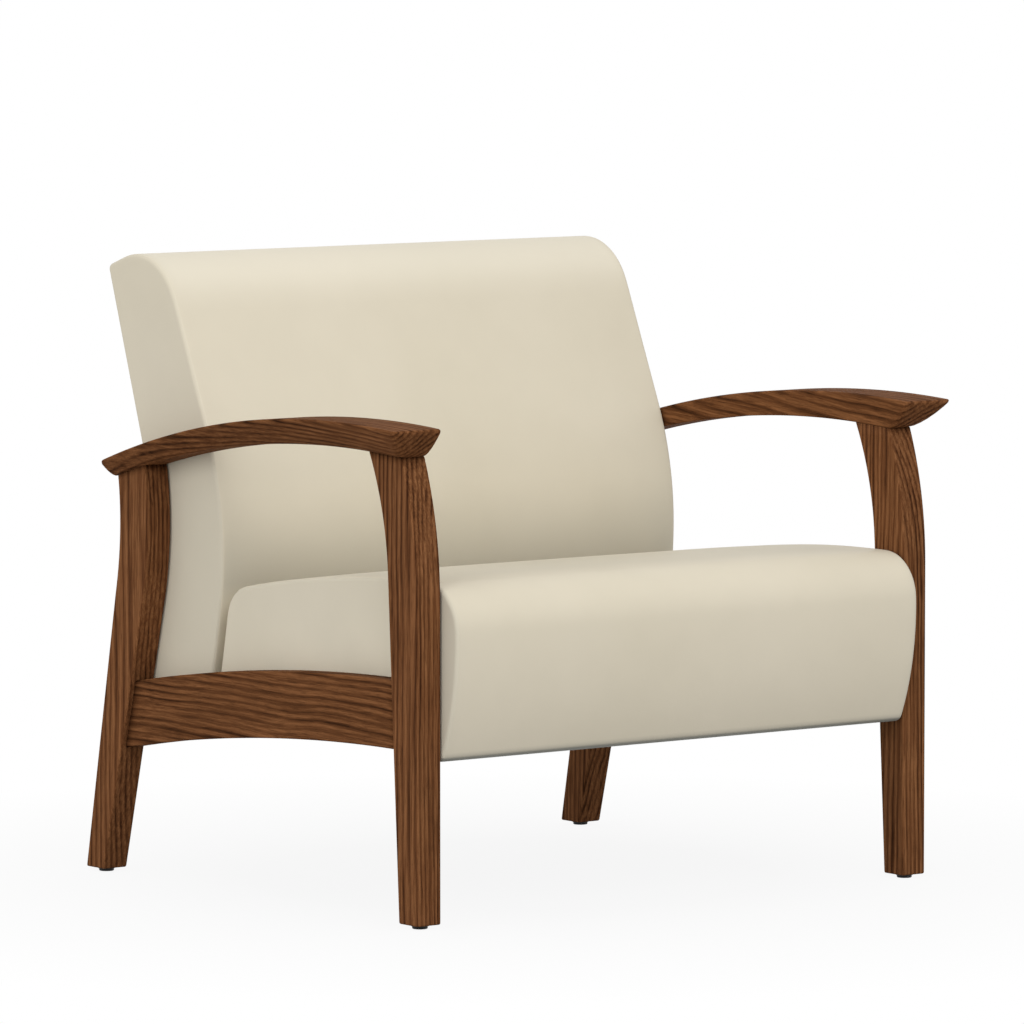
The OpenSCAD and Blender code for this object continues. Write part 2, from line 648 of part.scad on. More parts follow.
function back_swell(x, q) = [
  x,
  q[0] - back_crown * bow(x) * ramp(back_face_y(q[1]) - q[0], stile_d, 2 * stile_d)
    * ramp(q[1], back_base_h, seat_h),
  q[1]
];
module seat_form() skin([for (s = stations)
  [for (q = inset_outline(seat_points, seat_radii, s[1])) seat_swell(s[0], q)]]);
module back_form() skin([for (s = stations)
  [for (q = inset_outline(back_points, back_radii, s[1])) back_swell(s[0], q)]]);
module seat_core_view() polygon(inset_outline(seat_points, seat_radii, cover_t));
module back_core_view() polygon(inset_outline(back_points, back_radii, cover_t));

module spacer_holes(places) both_sides() for (p = places)
  bar(p, core_x - over, form_x + over, spacer_dia + 2 * bolt_gap);

// The seat's cover, open below inside the cloth turned in under the frame
module seat_cover() color(cream) chair() difference() {
  seat_form();
  across(-core_x, core_x) seat_core_view();
  translate([turn_in - form_x, front_board_y1 + turn_in / 2, 0])
    cube([2 * (form_x - turn_in), rear_board_y0 - front_board_y1 - turn_in, board_z0 + over / 2]);
  spacer_holes(seat_bolts);
}
module seat_foam() color("#e8dcae") chair() across(-core_x, core_x) difference() {
  seat_core_view();
  translate([front_board_y, 0]) square([rear_board_y1 - front_board_y, pad_z1]);
}
module seat_insulator() color("#3f3d3a") chair() translate([-core_x, front_board_y, pad_z0])
  cube([2 * core_x, rear_board_y1 - front_board_y, pad_t]);
module seat_dust_cover() color("#202022") chair()
  translate([turn_in / 2 - form_x, seat_lip_y + seat_lip_drop, seat_base_h - dust_t])
    cube([2 * form_x - turn_in, rear_board_y1 - seat_lip_y - seat_lip_drop, dust_t]);

// The seat frame
module seat_front_board() color(board) chair() translate([-core_x, front_board_y, lip_h + cover_t])
  cube([2 * core_x, board_t, deck_h - lip_h - cover_t]);
module seat_rear_board() color(board) chair() translate([-core_x, rear_board_y0, board_z0])
  cube([2 * core_x, board_t, deck_h - board_z0]);
module seat_side_board(side) color(board) chair() on_side(side) difference() {
  translate([stile_x, front_board_y1, board_z0])
    cube([board_t, rear_board_y0 - front_board_y1, deck_h - board_z0]);
  for (p = seat_bolts) bar(p, stile_x - over, core_x + over, bolt_dia + 2 * bolt_gap);
}
module corner_block() linear_extrude(height = deck_h - board_z0 - wire_dia)
  polygon([[0, 0], [-block_leg, 0], [0, block_leg]]);
module seat_corner_blocks() color(board) chair() both_sides() {
  translate([stile_x, front_board_y1, board_z0]) corner_block();
  translate([stile_x, rear_board_y0, board_z0]) mirror([0, 1, 0]) corner_block();
}

// A steel tube across the seat frame, welded to a plate at each end
module cross_beam(y) color(steel) chair() translate([0, y, beam_z]) {
  difference() {
    cube([2 * (stile_x - plate_t), beam_d, beam_h], center = true);
    cube([2 * stile_x, beam_d - 2 * beam_wall, beam_h - 2 * beam_wall], center = true);
  }
  both_sides() difference() {
    translate([stile_x - plate_t, -plate_size / 2, -plate_size / 2])
      cube([plate_t, plate_size, plate_size]);
    for (side = [-1, 1])
      bar([side * plate_bolt_pitch / 2, 0], stile_x - over, stile_x + over, bolt_dia + 2 * bolt_gap);
  }
}

// A zigzag spring: bars across it, joined by half turns, arched from the front board to the rear one
clip_y0 = front_board_y + board_t / 2;
clip_y1 = rear_board_y0 + board_t / 2;
loop_pitch = (clip_y1 - clip_y0) / (spring_bars - 1);
loop_r = loop_pitch / 2;
bar_half = spring_w / 2 - loop_r;
turn_steps = 4;
function spring_point(x, y) = let (t = (y - clip_y0) / (clip_y1 - clip_y0))
  [x, y, deck_h + spring_seat_h + spring_arch * 4 * t * (1 - t)];
spring_path = [for (b = [0 : spring_bars - 1])
  let (s = b % 2 == 0 ? 1 : -1, y = clip_y0 + b * loop_pitch)
  each concat(
    [spring_point(-s * bar_half, y), spring_point(s * bar_half, y)],
    b == spring_bars - 1 ? [] : [for (k = [1 : turn_steps - 1])
      let (a = 180 * k / turn_steps)
      spring_point(s * (bar_half + loop_r * sin(a)), y + loop_r * (1 - cos(a)))])];
function path_run(p, i) = unit(p[min(i + 1, len(p) - 1)] - p[max(i - 1, 0)]);
function wire_ring(c, run) = let (a = unit(cross([0, 0, 1], run)), b = cross(run, a))
  [for (k = [0 : wire_sides - 1])
    let (t = full_turn * k / wire_sides) c + wire_dia / 2 * (cos(t) * a + sin(t) * b)];
module spring() skin([for (i = [0 : len(spring_path) - 1])
  wire_ring(spring_path[i], path_run(spring_path, i))]);
spring_xs = [for (i = [0 : spring_count - 1]) (i - (spring_count - 1) / 2) * spring_pitch];
module seat_springs() color(steel) chair() for (x = spring_xs) translate([x, 0, 0]) spring();
module spring_clips() color(steel) chair() for (x = spring_xs, y = [clip_y0, clip_y1])
  translate([x, y, deck_h]) difference() {
    translate([-clip_w / 2, -clip_d / 2, 0]) cube([clip_w, clip_d, clip_h]);
    bar([0, spring_seat_h], -clip_w, clip_w, wire_dia + 2 * bore_gap);
  }

// The back's cover, with a window in its rear for the outer panel
window_z0 = back_base_h + panel_margin;
module behind_frame(slack) {
  polygon([
    upright_at(-over, window_z0 - slack), upright_at(-over, back_bend_h + over),
    lean_at(-over, panel_margin - slack), lean_at(stile_d, panel_margin - slack),
    bend_at(stile_d), upright_at(stile_d, window_z0 - slack)
  ]);
}
module back_outer_panel() color(cream) chair() across(panel_margin - form_x, form_x - panel_margin)
  difference() {
    intersection() {
      polygon(inset_outline(back_points, back_radii, 0));
      behind_frame(0);
    }
    back_core_view();
  }
module back_cover() color(cream) chair() difference() {
  back_form();
  across(-core_x, core_x) back_core_view();
  across(panel_margin - form_x - panel_gap, form_x - panel_margin + panel_gap) difference() {
    behind_frame(panel_gap);
    back_core_view();
  }
  spacer_holes(back_bolts);
}
module back_foam() color("#e8dcae") chair() across(-core_x, core_x) difference() {
  back_core_view();
  polygon([
    upright_at(-over, 0), upright_at(-over, back_bend_h),
    lean_at(-over, stile_top_gap), lean_at(web_in, stile_top_gap),
    bend_at(web_in), upright_at(web_in, 0)
  ]);
}

// The back frame
module back_stile(side) color(board) chair() on_side(side) difference() {
  across(stile_x, core_x) intersection() {
    back_core_view();
    polygon([
      upright_at(cover_t, stile_z0), bend_at(cover_t), lean_at(cover_t, stile_top_gap),
      lean_at(stile_in, stile_top_gap), bend_at(stile_in), upright_at(stile_in, stile_z0)
    ]);
  }
  for (p = back_bolts) bar(p, stile_x - over, core_x + over, bolt_dia + 2 * bolt_gap);
}
module back_top_board() color(board) chair() across(-stile_x, stile_x) polygon([
  lean_at(stile_in, stile_top_gap), lean_at(stile_in, stile_top_gap + back_rail_h),
  lean_at(stile_in - board_t, stile_top_gap + back_rail_h), lean_at(stile_in - board_t, stile_top_gap)
]);
module back_lumbar_board() color(board) chair() across(-stile_x, stile_x)
  translate(upright_at(stile_in - lumbar_set_back, lumbar_h - back_rail_h)) square([board_t, back_rail_h]);
module back_bottom_board() color(board) chair() across(-stile_x, stile_x)
  translate(upright_at(stile_in, stile_z0)) square([board_t, back_rail_h]);
web_low_l = back_bend_h - stile_z0;
web_high_l = lean_l - stile_top_gap;
module back_webbing() color("#6b5a44") chair() across(-core_x, core_x) {
  for (s = web_low_shares)
    translate(upright_at(web_in, stile_z0 + web_low_l * s - web_w / 2)) square([web_t, web_w]);
  for (s = web_high_shares)
    translate(lean_at(web_in, stile_top_gap + web_high_l * s + web_w / 2))
      rotate(-lean_angle) square([web_t, web_w]);
}

// The bolts that hold the seat and the back between the side frames
head_x = stile_x - washer_t;
plate_head_x = head_x - plate_t;
module bolt(p, x) {
  difference() {
    bar(p, x - bolt_head_h, x, bolt_head_dia);
    translate([x - bolt_head_h - over, p[0], p[1]]) rotate([0, 90, 0])
      cylinder(h = bolt_socket_h + over, d = bolt_socket_dia, $fn = 6);
  }
  bar(p, x - bore_gap, leg_x0 + insert_l - bolt_dia / 2, bolt_dia);
}
module frame_bolts() color(steel) chair() both_sides() {
  for (p = seat_bolts) bolt(p, plate_head_x);
  for (p = back_bolts) bolt(p, head_x);
}
module washer(p, x) difference() {
  bar(p, x, x + washer_t, washer_dia);
  bar(p, x - over, x + over, bolt_dia + 2 * bolt_gap);
}
module bolt_washers() color(steel) chair() both_sides() {
  for (p = seat_bolts) washer(p, plate_head_x);
  for (p = back_bolts) washer(p, head_x);
}
module bolt_spacers() color(steel) chair() both_sides() for (p = all_bolts) difference() {
  bar(p, core_x, leg_x0, spacer_dia);
  bar(p, core_x - over, leg_x0 + over, bolt_dia + 2 * bolt_gap);
}
module frame_inserts() color(steel) chair() both_sides() for (p = all_bolts) difference() {
  bar(p, leg_x0, leg_x0 + insert_l, insert_dia);
  bar(p, leg_x0 - over, leg_x0 + insert_l + over, bolt_dia + 2 * bore_gap);
}

front_leg(-1);  // front_leg_left
front_leg(1);  // front_leg_right
rear_leg(-1);  // rear_leg_left
rear_leg(1);  // rear_leg_right
arm(-1);  // arm_left
arm(1);  // arm_right
side_stretcher(-1);  // side_stretcher_left
side_stretcher(1);  // side_stretcher_right
arm_dowels();
stretcher_dowels();
glide_inserts();
glide_stud(-1, front_foot_c);  // glide_stud_front_left
glide_stud(1, front_foot_c);  // glide_stud_front_right
glide_stud(-1, rear_foot_c);  // glide_stud_rear_left
glide_stud(1, rear_foot_c);  // glide_stud_rear_right
glide_foot(-1, front_foot_c);  // glide_foot_front_left
glide_foot(1, front_foot_c);  // glide_foot_front_right
glide_foot(-1, rear_foot_c);  // glide_foot_rear_left
glide_foot(1, rear_foot_c);  // glide_foot_rear_right
seat_front_board();
seat_rear_board();
seat_side_board(-1);  // seat_side_board_left
seat_side_board(1);  // seat_side_board_right
seat_corner_blocks();
cross_beam(front_beam_y);  // cross_beam_front
cross_beam(rear_beam_y);  // cross_beam_rear
seat_springs();
spring_clips();
seat_insulator();
seat_foam();
seat_cover();
seat_dust_cover();
back_stile(-1);  // back_stile_left
back_stile(1);  // back_stile_right
back_top_board();
back_lumbar_board();
back_bottom_board();
back_webbing();
back_foam();
back_cover();
back_outer_panel();
frame_inserts();
frame_bolts();
bolt_washers();
bolt_spacers();
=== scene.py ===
"""Looks of the bariatric armchair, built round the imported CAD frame."""

import math

import bmesh
import bpy
import numpy as np
from mathutils import Matrix, Vector
from mathutils.kdtree import KDTree


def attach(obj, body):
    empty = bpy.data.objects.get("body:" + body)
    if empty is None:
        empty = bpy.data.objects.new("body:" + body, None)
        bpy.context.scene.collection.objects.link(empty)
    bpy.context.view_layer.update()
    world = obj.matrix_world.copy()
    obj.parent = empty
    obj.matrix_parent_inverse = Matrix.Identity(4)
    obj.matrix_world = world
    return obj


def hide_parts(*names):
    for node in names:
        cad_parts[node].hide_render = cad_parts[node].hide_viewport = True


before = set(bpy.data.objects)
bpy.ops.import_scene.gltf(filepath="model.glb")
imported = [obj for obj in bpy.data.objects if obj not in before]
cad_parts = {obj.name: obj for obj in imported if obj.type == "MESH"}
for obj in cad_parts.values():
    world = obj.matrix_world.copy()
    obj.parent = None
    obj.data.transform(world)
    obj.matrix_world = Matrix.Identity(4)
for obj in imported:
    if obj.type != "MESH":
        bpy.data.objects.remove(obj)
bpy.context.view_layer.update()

# Sizes in millimetres, as the part's source has them. Depth is measured from the front legs' front
# face until TO_FRAME centres and scales a finished mesh. Materials and the simulation use metres.
MM = 0.001
MID_Y = 351.946
TO_FRAME = Matrix.Scale(MM, 4) @ Matrix.Translation((0, -MID_Y, 0))

CLEAR_W, LEG_W, BASE_D, ARM_H = 762, 38, 738.5, 638
LEG_X0 = CLEAR_W / 2
GLIDE_H = 5.3
WOOD_EASE = 2.6
FRONT_LEG = dict(foot_d=39, mid_d=62.5, mid_h=448, back_r=385, bend_h=418, bend_r=500)
REAR_LEG = dict(foot_d=40, top_d=64, knee_h=378, knee_y=635, bend_r=450)
ARM = dict(
    t=36.5, crown_y=129, top_r=1780, under_y=174, under_r=1780,
    over_front=35.5, over_rear=21.5, nose=33.5, tail=8, bevel=0.68,
)
STRETCHER = dict(t=30, top_h=311.5, low_h=224.5, top_r=3320, low_r=3330)
SIDE_GAP, SIDE_R = 2, 5
FORM_X = LEG_X0 - SIDE_GAP
# Corners of the upholstery seen from the side, as depth and height, clockwise from the front
# bottom, and the radius of each
SEAT_POINTS = [
    (2, 210.5), (-31, 292), (-31, 436), (238, 436), (463, 395), (497, 220), (64.75, 220),
    (60, 210.5),
]
SEAT_RADII = [14, 376, 61, 1900, 48, 8.5, 1.2, 8.5]
BACK_POINTS = [
    (513.61, 222), (462.32, 486), (620, 846.5), (740, 806), (647, 525), (647, 222),
]
BACK_RADII = [8.5, 415, 96, 8, 350, 8.5]
# The least that a radius becomes where the outline is drawn in
LEAST_R = 1.2
SEAT_TOP_Z = SEAT_POINTS[2][1]
BACK_FOOT_Z = BACK_POINTS[5][1]
SIDES = {"left": -1, "right": 1}


# ---- materials

def rgb(text):
    """A colour written as six hexadecimal digits, in linear values."""
    parts = [int(text[i:i + 2], 16) / 255 for i in (0, 2, 4)]
    linear = (c / 12.92 if c <= 0.04045 else ((c + 0.055) / 1.055) ** 2.4 for c in parts)
    return (*linear, 1.0)


def join(tree, socket, source):
    """Feeds a socket from another node's socket, or sets it to a plain value."""
    if isinstance(source, bpy.types.NodeSocket):
        tree.links.new(source, socket)
    else:
        socket.default_value = source


def add_node(tree, kind, sources=(), **settings):
    """A shader node. settings are its properties or plain inputs, with _ for a space, and sources
    gives sockets by name or number."""
    made = tree.nodes.new("ShaderNode" + kind)
    for key, value in settings.items():
        if hasattr(made, key):
            setattr(made, key, value)
        else:
            made.inputs[key.replace("_", " ")].default_value = value
    for socket, source in dict(sources).items():
        join(tree, made.inputs[socket], source)
    return made


class Finish:
    """A material under construction: one Principled shader and the nodes that feed it."""

    def __init__(self, name, **sockets):
        self.material = bpy.data.materials.new(name)
        self.material.use_nodes = True
        self.tree = self.material.node_tree
        self.shader = next(n for n in self.tree.nodes if n.type == "BSDF_PRINCIPLED")
        for key, value in sockets.items():
            self.feed(key.replace("_", " "), value)

    def node(self, kind, sources=(), **settings):
        return add_node(self.tree, kind, sources, **settings)

    def feed(self, socket, source):
        join(self.tree, self.shader.inputs[socket], source)

    def place(self, loc=(0, 0, 0), rot=(0, 0, 0)):
        """Object coordinates seen from a place and a turn."""
        coords = self.node("TexCoord").outputs["Object"]
        seen = self.node("Mapping", {"Vector": coords}, vector_type="TEXTURE",
                         Location=loc, Rotation=rot)
        return seen.outputs["Vector"]

    def attribute(self, name):
        return self.node("Attribute", attribute_name=name).outputs["Fac"]

    def vector(self, operation, a, b):
        return self.node("VectorMath", {0: a, 1: b}, operation=operation).outputs["Vector"]

    def along(self, vector, share):
        """The vector with its Z scaled. A share below 1 draws a figure out along Z, and one above
        1 presses it together."""
        return self.vector("MULTIPLY", vector, (1, 1, share))

    def maths(self, operation, a, b):
        return self.node("Math", {0: a, 1: b}, operation=operation).outputs[0]

    def noise(self, vector, scale, detail=2.0, rough=0.5):
        made = self.node("TexNoise", {"Vector": vector}, Scale=scale, Detail=detail,
                         Roughness=rough)
        return made.outputs["Fac"]

    def ramp(self, factor, *stops):
        """The colour, or the grey, that the factor has between stops of a place and a colour."""
        made = self.node("ValToRGB", {"Fac": factor})
        elements = made.color_ramp.elements
        while len(elements) < len(stops):
            elements.new(0.5)
        for element, (where, colour) in zip(elements, stops):
            element.position = where
            element.color = colour if isinstance(colour, tuple) else (colour, colour, colour, 1)
        return made.outputs["Color"]

    def mixed(self, factor, a, b, blend="MIX"):
        made = self.node("Mix", {0: factor, 6: a, 7: b}, data_type="RGBA", blend_type=blend)
        return made.outputs[2]

    def bump(self, height, distance, strength, under=None):
        sources = {"Height": height}
        if under is not None:
            sources["Normal"] = under
        made = self.node("Bump", sources, Strength=strength, Distance=distance)
        return made.outputs["Normal"]


def wandering(f, coords, wave):
    """Coordinates that wander sideways, by up to about half of wave, along the grain."""
    slow = f.node("TexNoise", {"Vector": f.along(coords, 0.55)}, Scale=9.0, Detail=2.0,
                  Roughness=0.45)
    shift = f.vector("SUBTRACT", slow.outputs["Color"], (0.5, 0.5, 0.5))
    return f.vector("ADD", f.vector("MULTIPLY", shift, (wave, wave, 0)), coords)


def late_wood(f, warp, ring):
    """The dark side of each growth ring, weaker in some places than in others."""
    rings = f.node("TexWave", {"Vector": f.along(warp, 0.06)}, wave_type="RINGS",
                   rings_direction="Z", wave_profile="SAW", Scale=ring, Distortion=4.5,
                   Detail=4.0, Detail_Scale=0.9, Detail_Roughness=0.65).outputs["Fac"]
    bands = f.ramp(rings, (0.0, 0.0), (0.1, 0.35), (0.28, 0.9), (0.5, 1.0), (0.8, 0.6), (1.0, 0.0))
    strength = f.ramp(f.noise(f.along(warp, 0.03), 70.0, 2.0, 0.6), (0.38, 0.4), (0.62, 1.0))
    return f.maths("MULTIPLY", f.maths("SUBTRACT", 1.0, bands), strength)


def solid_wood(name, pith, turn, shades, wave, ring):
    """Wood cut from a plank: growth rings round a pith line, fine streaks and pores along it.
    shades are its dark, middle and light colours."""
    f = Finish(name, Specular_IOR_Level=0.02)
    coords = f.place(pith, turn)
    warp = wandering(f, coords, wave)
    late = late_wood(f, warp, ring)
    streaks = f.noise(f.along(warp, 0.016), 300.0, 4.0, 0.66)
    hairs = f.noise(f.along(warp, 0.03), 760.0, 3.0, 0.65)
    pores = f.ramp(f.noise(f.along(coords, 0.035), 1100.0, 2.0, 0.6), (0.36, 0.0), (0.46, 1.0))
    patches = f.noise(f.along(coords, 0.25), 20.0, 3.0)
    fine = f.maths("ADD", f.maths("MULTIPLY", streaks, 0.7), f.maths("MULTIPLY", hairs, 0.45))
    tone = f.maths("SUBTRACT", fine, f.maths("MULTIPLY", late, 0.42))
    dark, middle, light = (rgb(shade) for shade in shades)
    colour = f.ramp(tone, (0.14, dark), (0.46, middle), (0.68, light))
    colour = f.mixed(0.34, colour, pores, "MULTIPLY")
    colour = f.mixed(0.55, colour, f.ramp(patches, (0.3, 0.74), (0.7, 1.0)), "MULTIPLY")
    f.feed("Base Color", colour)
    f.feed("Roughness", f.maths("SUBTRACT", 0.76, f.maths("MULTIPLY", tone, 0.2)))
    grain = f.maths("ADD", f.maths("MULTIPLY", tone, 1.2), f.maths("MULTIPLY", pores, 0.5))
    f.feed("Normal", f.bump(grain, 0.00022, 0.5))
    return f.material


LEG_WALNUT = "3a2011", "6f462a", "936440"
ARM_WALNUT = "361e0f", "684126", "8c5d3a"
BEECH = "b08a5c", "cfae80", "dcc093"


def beech(name, pith, turn=(0, 0, 0)):
    return solid_wood(name, pith, turn, BEECH, wave=0.012, ring=60.0)


def vinyl(name):
    """Smooth coated upholstery with a faint pebble and a soft unevenness. It has painted shade
    in creases, seams and shaded places, and a painted highlight over the back's top, as
    mark_points() sets them."""
    f = Finish(name, Specular_IOR_Level=0.08, Sheen_Weight=0.03, Sheen_Roughness=0.45)
    coords = f.place()
    broad = f.noise(coords, 3.2, 2.0)
    clouds = f.noise(coords, 21.0, 3.0)
    colour = f.ramp(broad, (0.3, rgb("dad1bc")), (0.7, rgb("dfd6c2")))
    colour = f.mixed(0.3, colour, f.ramp(clouds, (0.35, 0.96), (0.65, 1.0)), "MULTIPLY")
    # painted shade: mixes towards a dark grey by the attribute that marks creases, seams,
    # undersides and shaded places
    colour = f.mixed(f.attribute("painted_shade"), colour, rgb("626969"))
    # painted highlight: mixes towards a pale cream by the attribute that marks the band over the
    # back's top
    colour = f.mixed(f.attribute("painted_highlight"), colour, rgb("efe8d6"))
    f.feed("Base Color", colour)
    pebble = f.node("TexVoronoi", {"Vector": coords}, feature="SMOOTH_F1", Scale=850.0,
                    Smoothness=0.7).outputs["Distance"]
    rough = f.maths("ADD", f.maths("MULTIPLY", clouds, 0.1), f.maths("MULTIPLY", pebble, 0.08))
    f.feed("Roughness", f.maths("ADD", 0.4, rough))
    grain = f.maths("ADD", pebble, f.maths("MULTIPLY", f.noise(coords, 2400.0, 2.0), 0.35))
    soft = f.bump(f.noise(coords, 11.0, 1.0), 0.0016, 0.35)
    f.feed("Normal", f.bump(grain, 0.00009, 0.5, under=soft))
    return f.material


def cloth(name, dark, light, scale):
    """A plain woven or felted cloth."""
    f = Finish(name, Specular_IOR_Level=0.2, Sheen_Weight=0.2, Sheen_Roughness=0.6)
    coords = f.place()
    weft, warp = (
        f.node("TexWave", {"Vector": coords}, bands_direction=way, Scale=scale,
               Distortion=0.6).outputs["Fac"] for way in "XY"
    )
    fuzz = f.noise(coords, scale * 2.0, 3.0, 0.7)
    weave = f.maths("ADD", f.maths("MULTIPLY", weft, warp), f.maths("MULTIPLY", fuzz, 0.6))
    f.feed("Base Color", f.ramp(weave, (0.2, rgb(dark)), (0.9, rgb(light))))
    f.feed("Roughness", f.maths("SUBTRACT", 0.9, f.maths("MULTIPLY", fuzz, 0.1)))
    f.feed("Normal", f.bump(weave, 0.0003, 0.6))
    return f.material


def foam(name):
    """Open foam: round cells and a faint yellowing in patches."""
    f = Finish(name, Specular_IOR_Level=0.15)
    coords = f.place()
    cells = f.node("TexVoronoi", {"Vector": coords}, feature="F1", Scale=520.0).outputs["Distance"]
    patches = f.noise(coords, 18.0, 3.0)
    colour = f.ramp(cells, (0.1, rgb("c9b987")), (0.6, rgb("eadfb6")))
    colour = f.mixed(0.3, colour, f.ramp(patches, (0.3, 0.86), (0.7, 1.0)), "MULTIPLY")
    f.feed("Base Color", colour)
    f.feed("Roughness", f.maths("ADD", 0.85, f.maths("MULTIPLY", patches, 0.12)))
    f.feed("Normal", f.bump(cells, 0.0006, 0.7))
    return f.material


# A wave texture of this scale makes ridges 1.25 mm apart
THREAD_SCALE = 251.0


def metal(name, colour, worn, rough, thread=False, painted=False):
    """Plated, drawn or painted steel, with faint streaks and wear. A thread is drawn as level
    ridges."""
    f = Finish(name, Metallic=0.0 if painted else 1.0)
    coords = f.place()
    patches = f.noise(coords, 60.0, 4.0, 0.65)
    scuffs = f.noise(f.along(coords, 8), 240.0, 3.0, 0.7)
    shade = f.maths("ADD", f.maths("MULTIPLY", patches, 0.6), f.maths("MULTIPLY", scuffs, 0.4))
    f.feed("Base Color", f.ramp(shade, (0.3, rgb(worn)), (0.6, rgb(colour))))
    f.feed("Roughness", f.maths("ADD", rough, f.maths("MULTIPLY", shade, 0.25)))
    height, distance = scuffs, 0.00004
    if thread:
        height = f.node("TexWave", {"Vector": coords}, bands_direction="Z",
                        Scale=THREAD_SCALE).outputs["Fac"]
        distance = 0.0006
    f.feed("Normal", f.bump(height, distance, 0.8))
    return f.material


def black_plastic(name):
    """Moulded plastic with a fine grain."""
    f = Finish(name, Specular_IOR_Level=0.22)
    coords = f.place()
    patches = f.noise(coords, 90.0, 3.0)
    grain = f.noise(coords, 2600.0, 2.0, 0.7)
    f.feed("Base Color", f.ramp(patches, (0.3, rgb("0c0c0d")), (0.75, rgb("191a1b"))))
    f.feed("Roughness", f.maths("ADD", 0.42, f.maths("MULTIPLY", grain, 0.25)))
    f.feed("Normal", f.bump(grain, 0.00008, 0.6))
    return f.material


# ---- meshes

def cube_sides(point):
    """Which sides of the unit cube a point lies on, as pairs of an axis and an end."""
    return {
        (axis, end) for axis in range(3) for end in (0, 1) if abs(point[axis] - end) < 1e-6
    }


def cut_cube(cuts):
    """A unit cube, cut across each axis."""
    bm = bmesh.new()
    bmesh.ops.create_cube(bm, size=1.0, matrix=Matrix.Translation((0.5, 0.5, 0.5)))
    for axis, places in enumerate(cuts):
        for place in places:
            spot, way = Vector((0, 0, 0)), Vector((0, 0, 0))
            spot[axis], way[axis] = place, 1.0
            bmesh.ops.bisect_plane(bm, geom=bm.verts[:] + bm.edges[:] + bm.faces[:], dist=1e-7,
                                   plane_co=spot, plane_no=way)
    return bm


def even(count):
    """Where the cuts lie that make so many equal parts."""
    return [k / count for k in range(1, count)]


# The radius that a bevel weight of 1 stands for
ROUND_MOST = 10.0
ROUND_STEPS = 4


def shaped_block(cuts, place, radius, own_radii=()):
    """A cut cube with each point put in place. Each of its edges is marked with the radius that
    rounded() gives it. own_radii says what pairs of sides, or single sides, have their own."""
    bm = cut_cube(cuts)
    marks = bm.edges.layers.float.new("bevel_weight_edge")
    for edge in bm.edges:
        shared = cube_sides(edge.verts[0].co) & cube_sides(edge.verts[1].co)
        if len(shared) == 2:
            own = [r for sides, r in own_radii if set(sides) <= shared]
            edge[marks] = (own[0] if own else radius) / ROUND_MOST
    for vert in bm.verts:
        vert.co = place(*vert.co)
    bmesh.ops.recalc_face_normals(bm, faces=bm.faces)
    return bm


def rounded(piece):
    """Rounds the marked edges of a piece and evens its shading."""
    bevel = piece.modifiers.new("rounding", "BEVEL")
    bevel.limit_method, bevel.width, bevel.segments = "WEIGHT", ROUND_MOST * MM, ROUND_STEPS
    bevel.use_clamp_overlap = False
    even_out = piece.modifiers.new("even_shading", "WEIGHTED_NORMAL")
    even_out.weight = 60


def finished(bm, name, material, body, nodes, subdivide=0):
    """The mesh as a named piece that rides on a body and stands for CAD nodes."""
    bmesh.ops.transform(bm, matrix=TO_FRAME, verts=bm.verts)
    mesh = bpy.data.meshes.new(name)
    bm.to_mesh(mesh)
    bm.free()
    mesh.materials.append(material)
    for polygon in mesh.polygons:
        polygon.use_smooth = True
    piece = bpy.data.objects.new(name, mesh)
    bpy.context.scene.collection.objects.link(piece)
    if subdivide:
        modifier = piece.modifiers.new("smooth", "SUBSURF")
        modifier.levels = modifier.render_levels = subdivide
    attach(piece, body)
    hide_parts(*nodes)
    return piece


def mirrored_if_left(bm, side):
    if side < 0:
        bmesh.ops.scale(bm, vec=(-1, 1, 1), verts=bm.verts)
        bmesh.ops.reverse_faces(bm, faces=bm.faces)
    return bm


# ---- the side frames

def sag(d, r):
    """How far an arc of radius r falls away at a distance d past its crown, and 0 before it."""
    return r - math.sqrt(r * r - d * d) if d > 0 else 0.0


def arm_top_z(y):
    return ARM_H - sag(abs(y - ARM["crown_y"]), ARM["top_r"])


def arm_under_z(y):
    return ARM_H - ARM["t"] - sag(abs(y - ARM["under_y"]), ARM["under_r"])


def front_leg_y(z):
    """The front leg's front and back edges at a height."""
    leg = FRONT_LEG
    front = sag(z - leg["bend_h"], leg["bend_r"])
    back = (leg["foot_d"] + (leg["mid_d"] - leg["foot_d"]) * z / leg["mid_h"]
            + sag(z - leg["mid_h"], leg["back_r"]))
    return front, back


def rear_leg_y(z):
    """The rear leg's front and back edges at a height."""
    leg = REAR_LEG
    foot_y = BASE_D - leg["foot_d"] / 2
    middle = (foot_y - (foot_y - leg["knee_y"]) * z / leg["knee_h"]
              + sag(z - leg["knee_h"], leg["bend_r"]))
    depth = leg["top_d"] if z > leg["knee_h"] else (
        leg["foot_d"] + (leg["top_d"] - leg["foot_d"]) * z / leg["knee_h"])
    return middle - depth / 2, middle + depth / 2


def stretcher_z(y):
    """The stretcher's lower and upper edges at a depth."""
    d = abs(y - FRONT_LEG["mid_d"])
    return (STRETCHER["low_h"] - sag(d, STRETCHER["low_r"]),
            STRETCHER["top_h"] - sag(d, STRETCHER["top_r"]))


# Where the arm's underside meets the front of the front leg and the back of the rear leg
ARM_Y0 = front_leg_y(arm_under_z(front_leg_y(ARM_H - ARM["t"])[0]))[0]
ARM_Y1 = rear_leg_y(arm_under_z(rear_leg_y(ARM_H - 2 * ARM["t"])[1]))[1]

# The power by which a leg's levels take the slope of the arm's underside towards its top
TOP_FIT = 6


def leg_place(edges):
    """Points of a leg, with its top fitted to the arm's underside."""
    top = arm_under_z(edges(ARM_H - 2 * ARM["t"])[0])

    def place(u, v, w):
        z = GLIDE_H + (top - GLIDE_H) * w
        y0, y1 = edges(z)
        y = y0 + (y1 - y0) * v
        z += (arm_under_z(y) - top) * w ** TOP_FIT
        y0, y1 = edges(z)
        return Vector((LEG_X0 + LEG_W * u, y0 + (y1 - y0) * v, z))
    return place


# What the rounding takes off an arm's tips
TIP_ROUND = 6.8


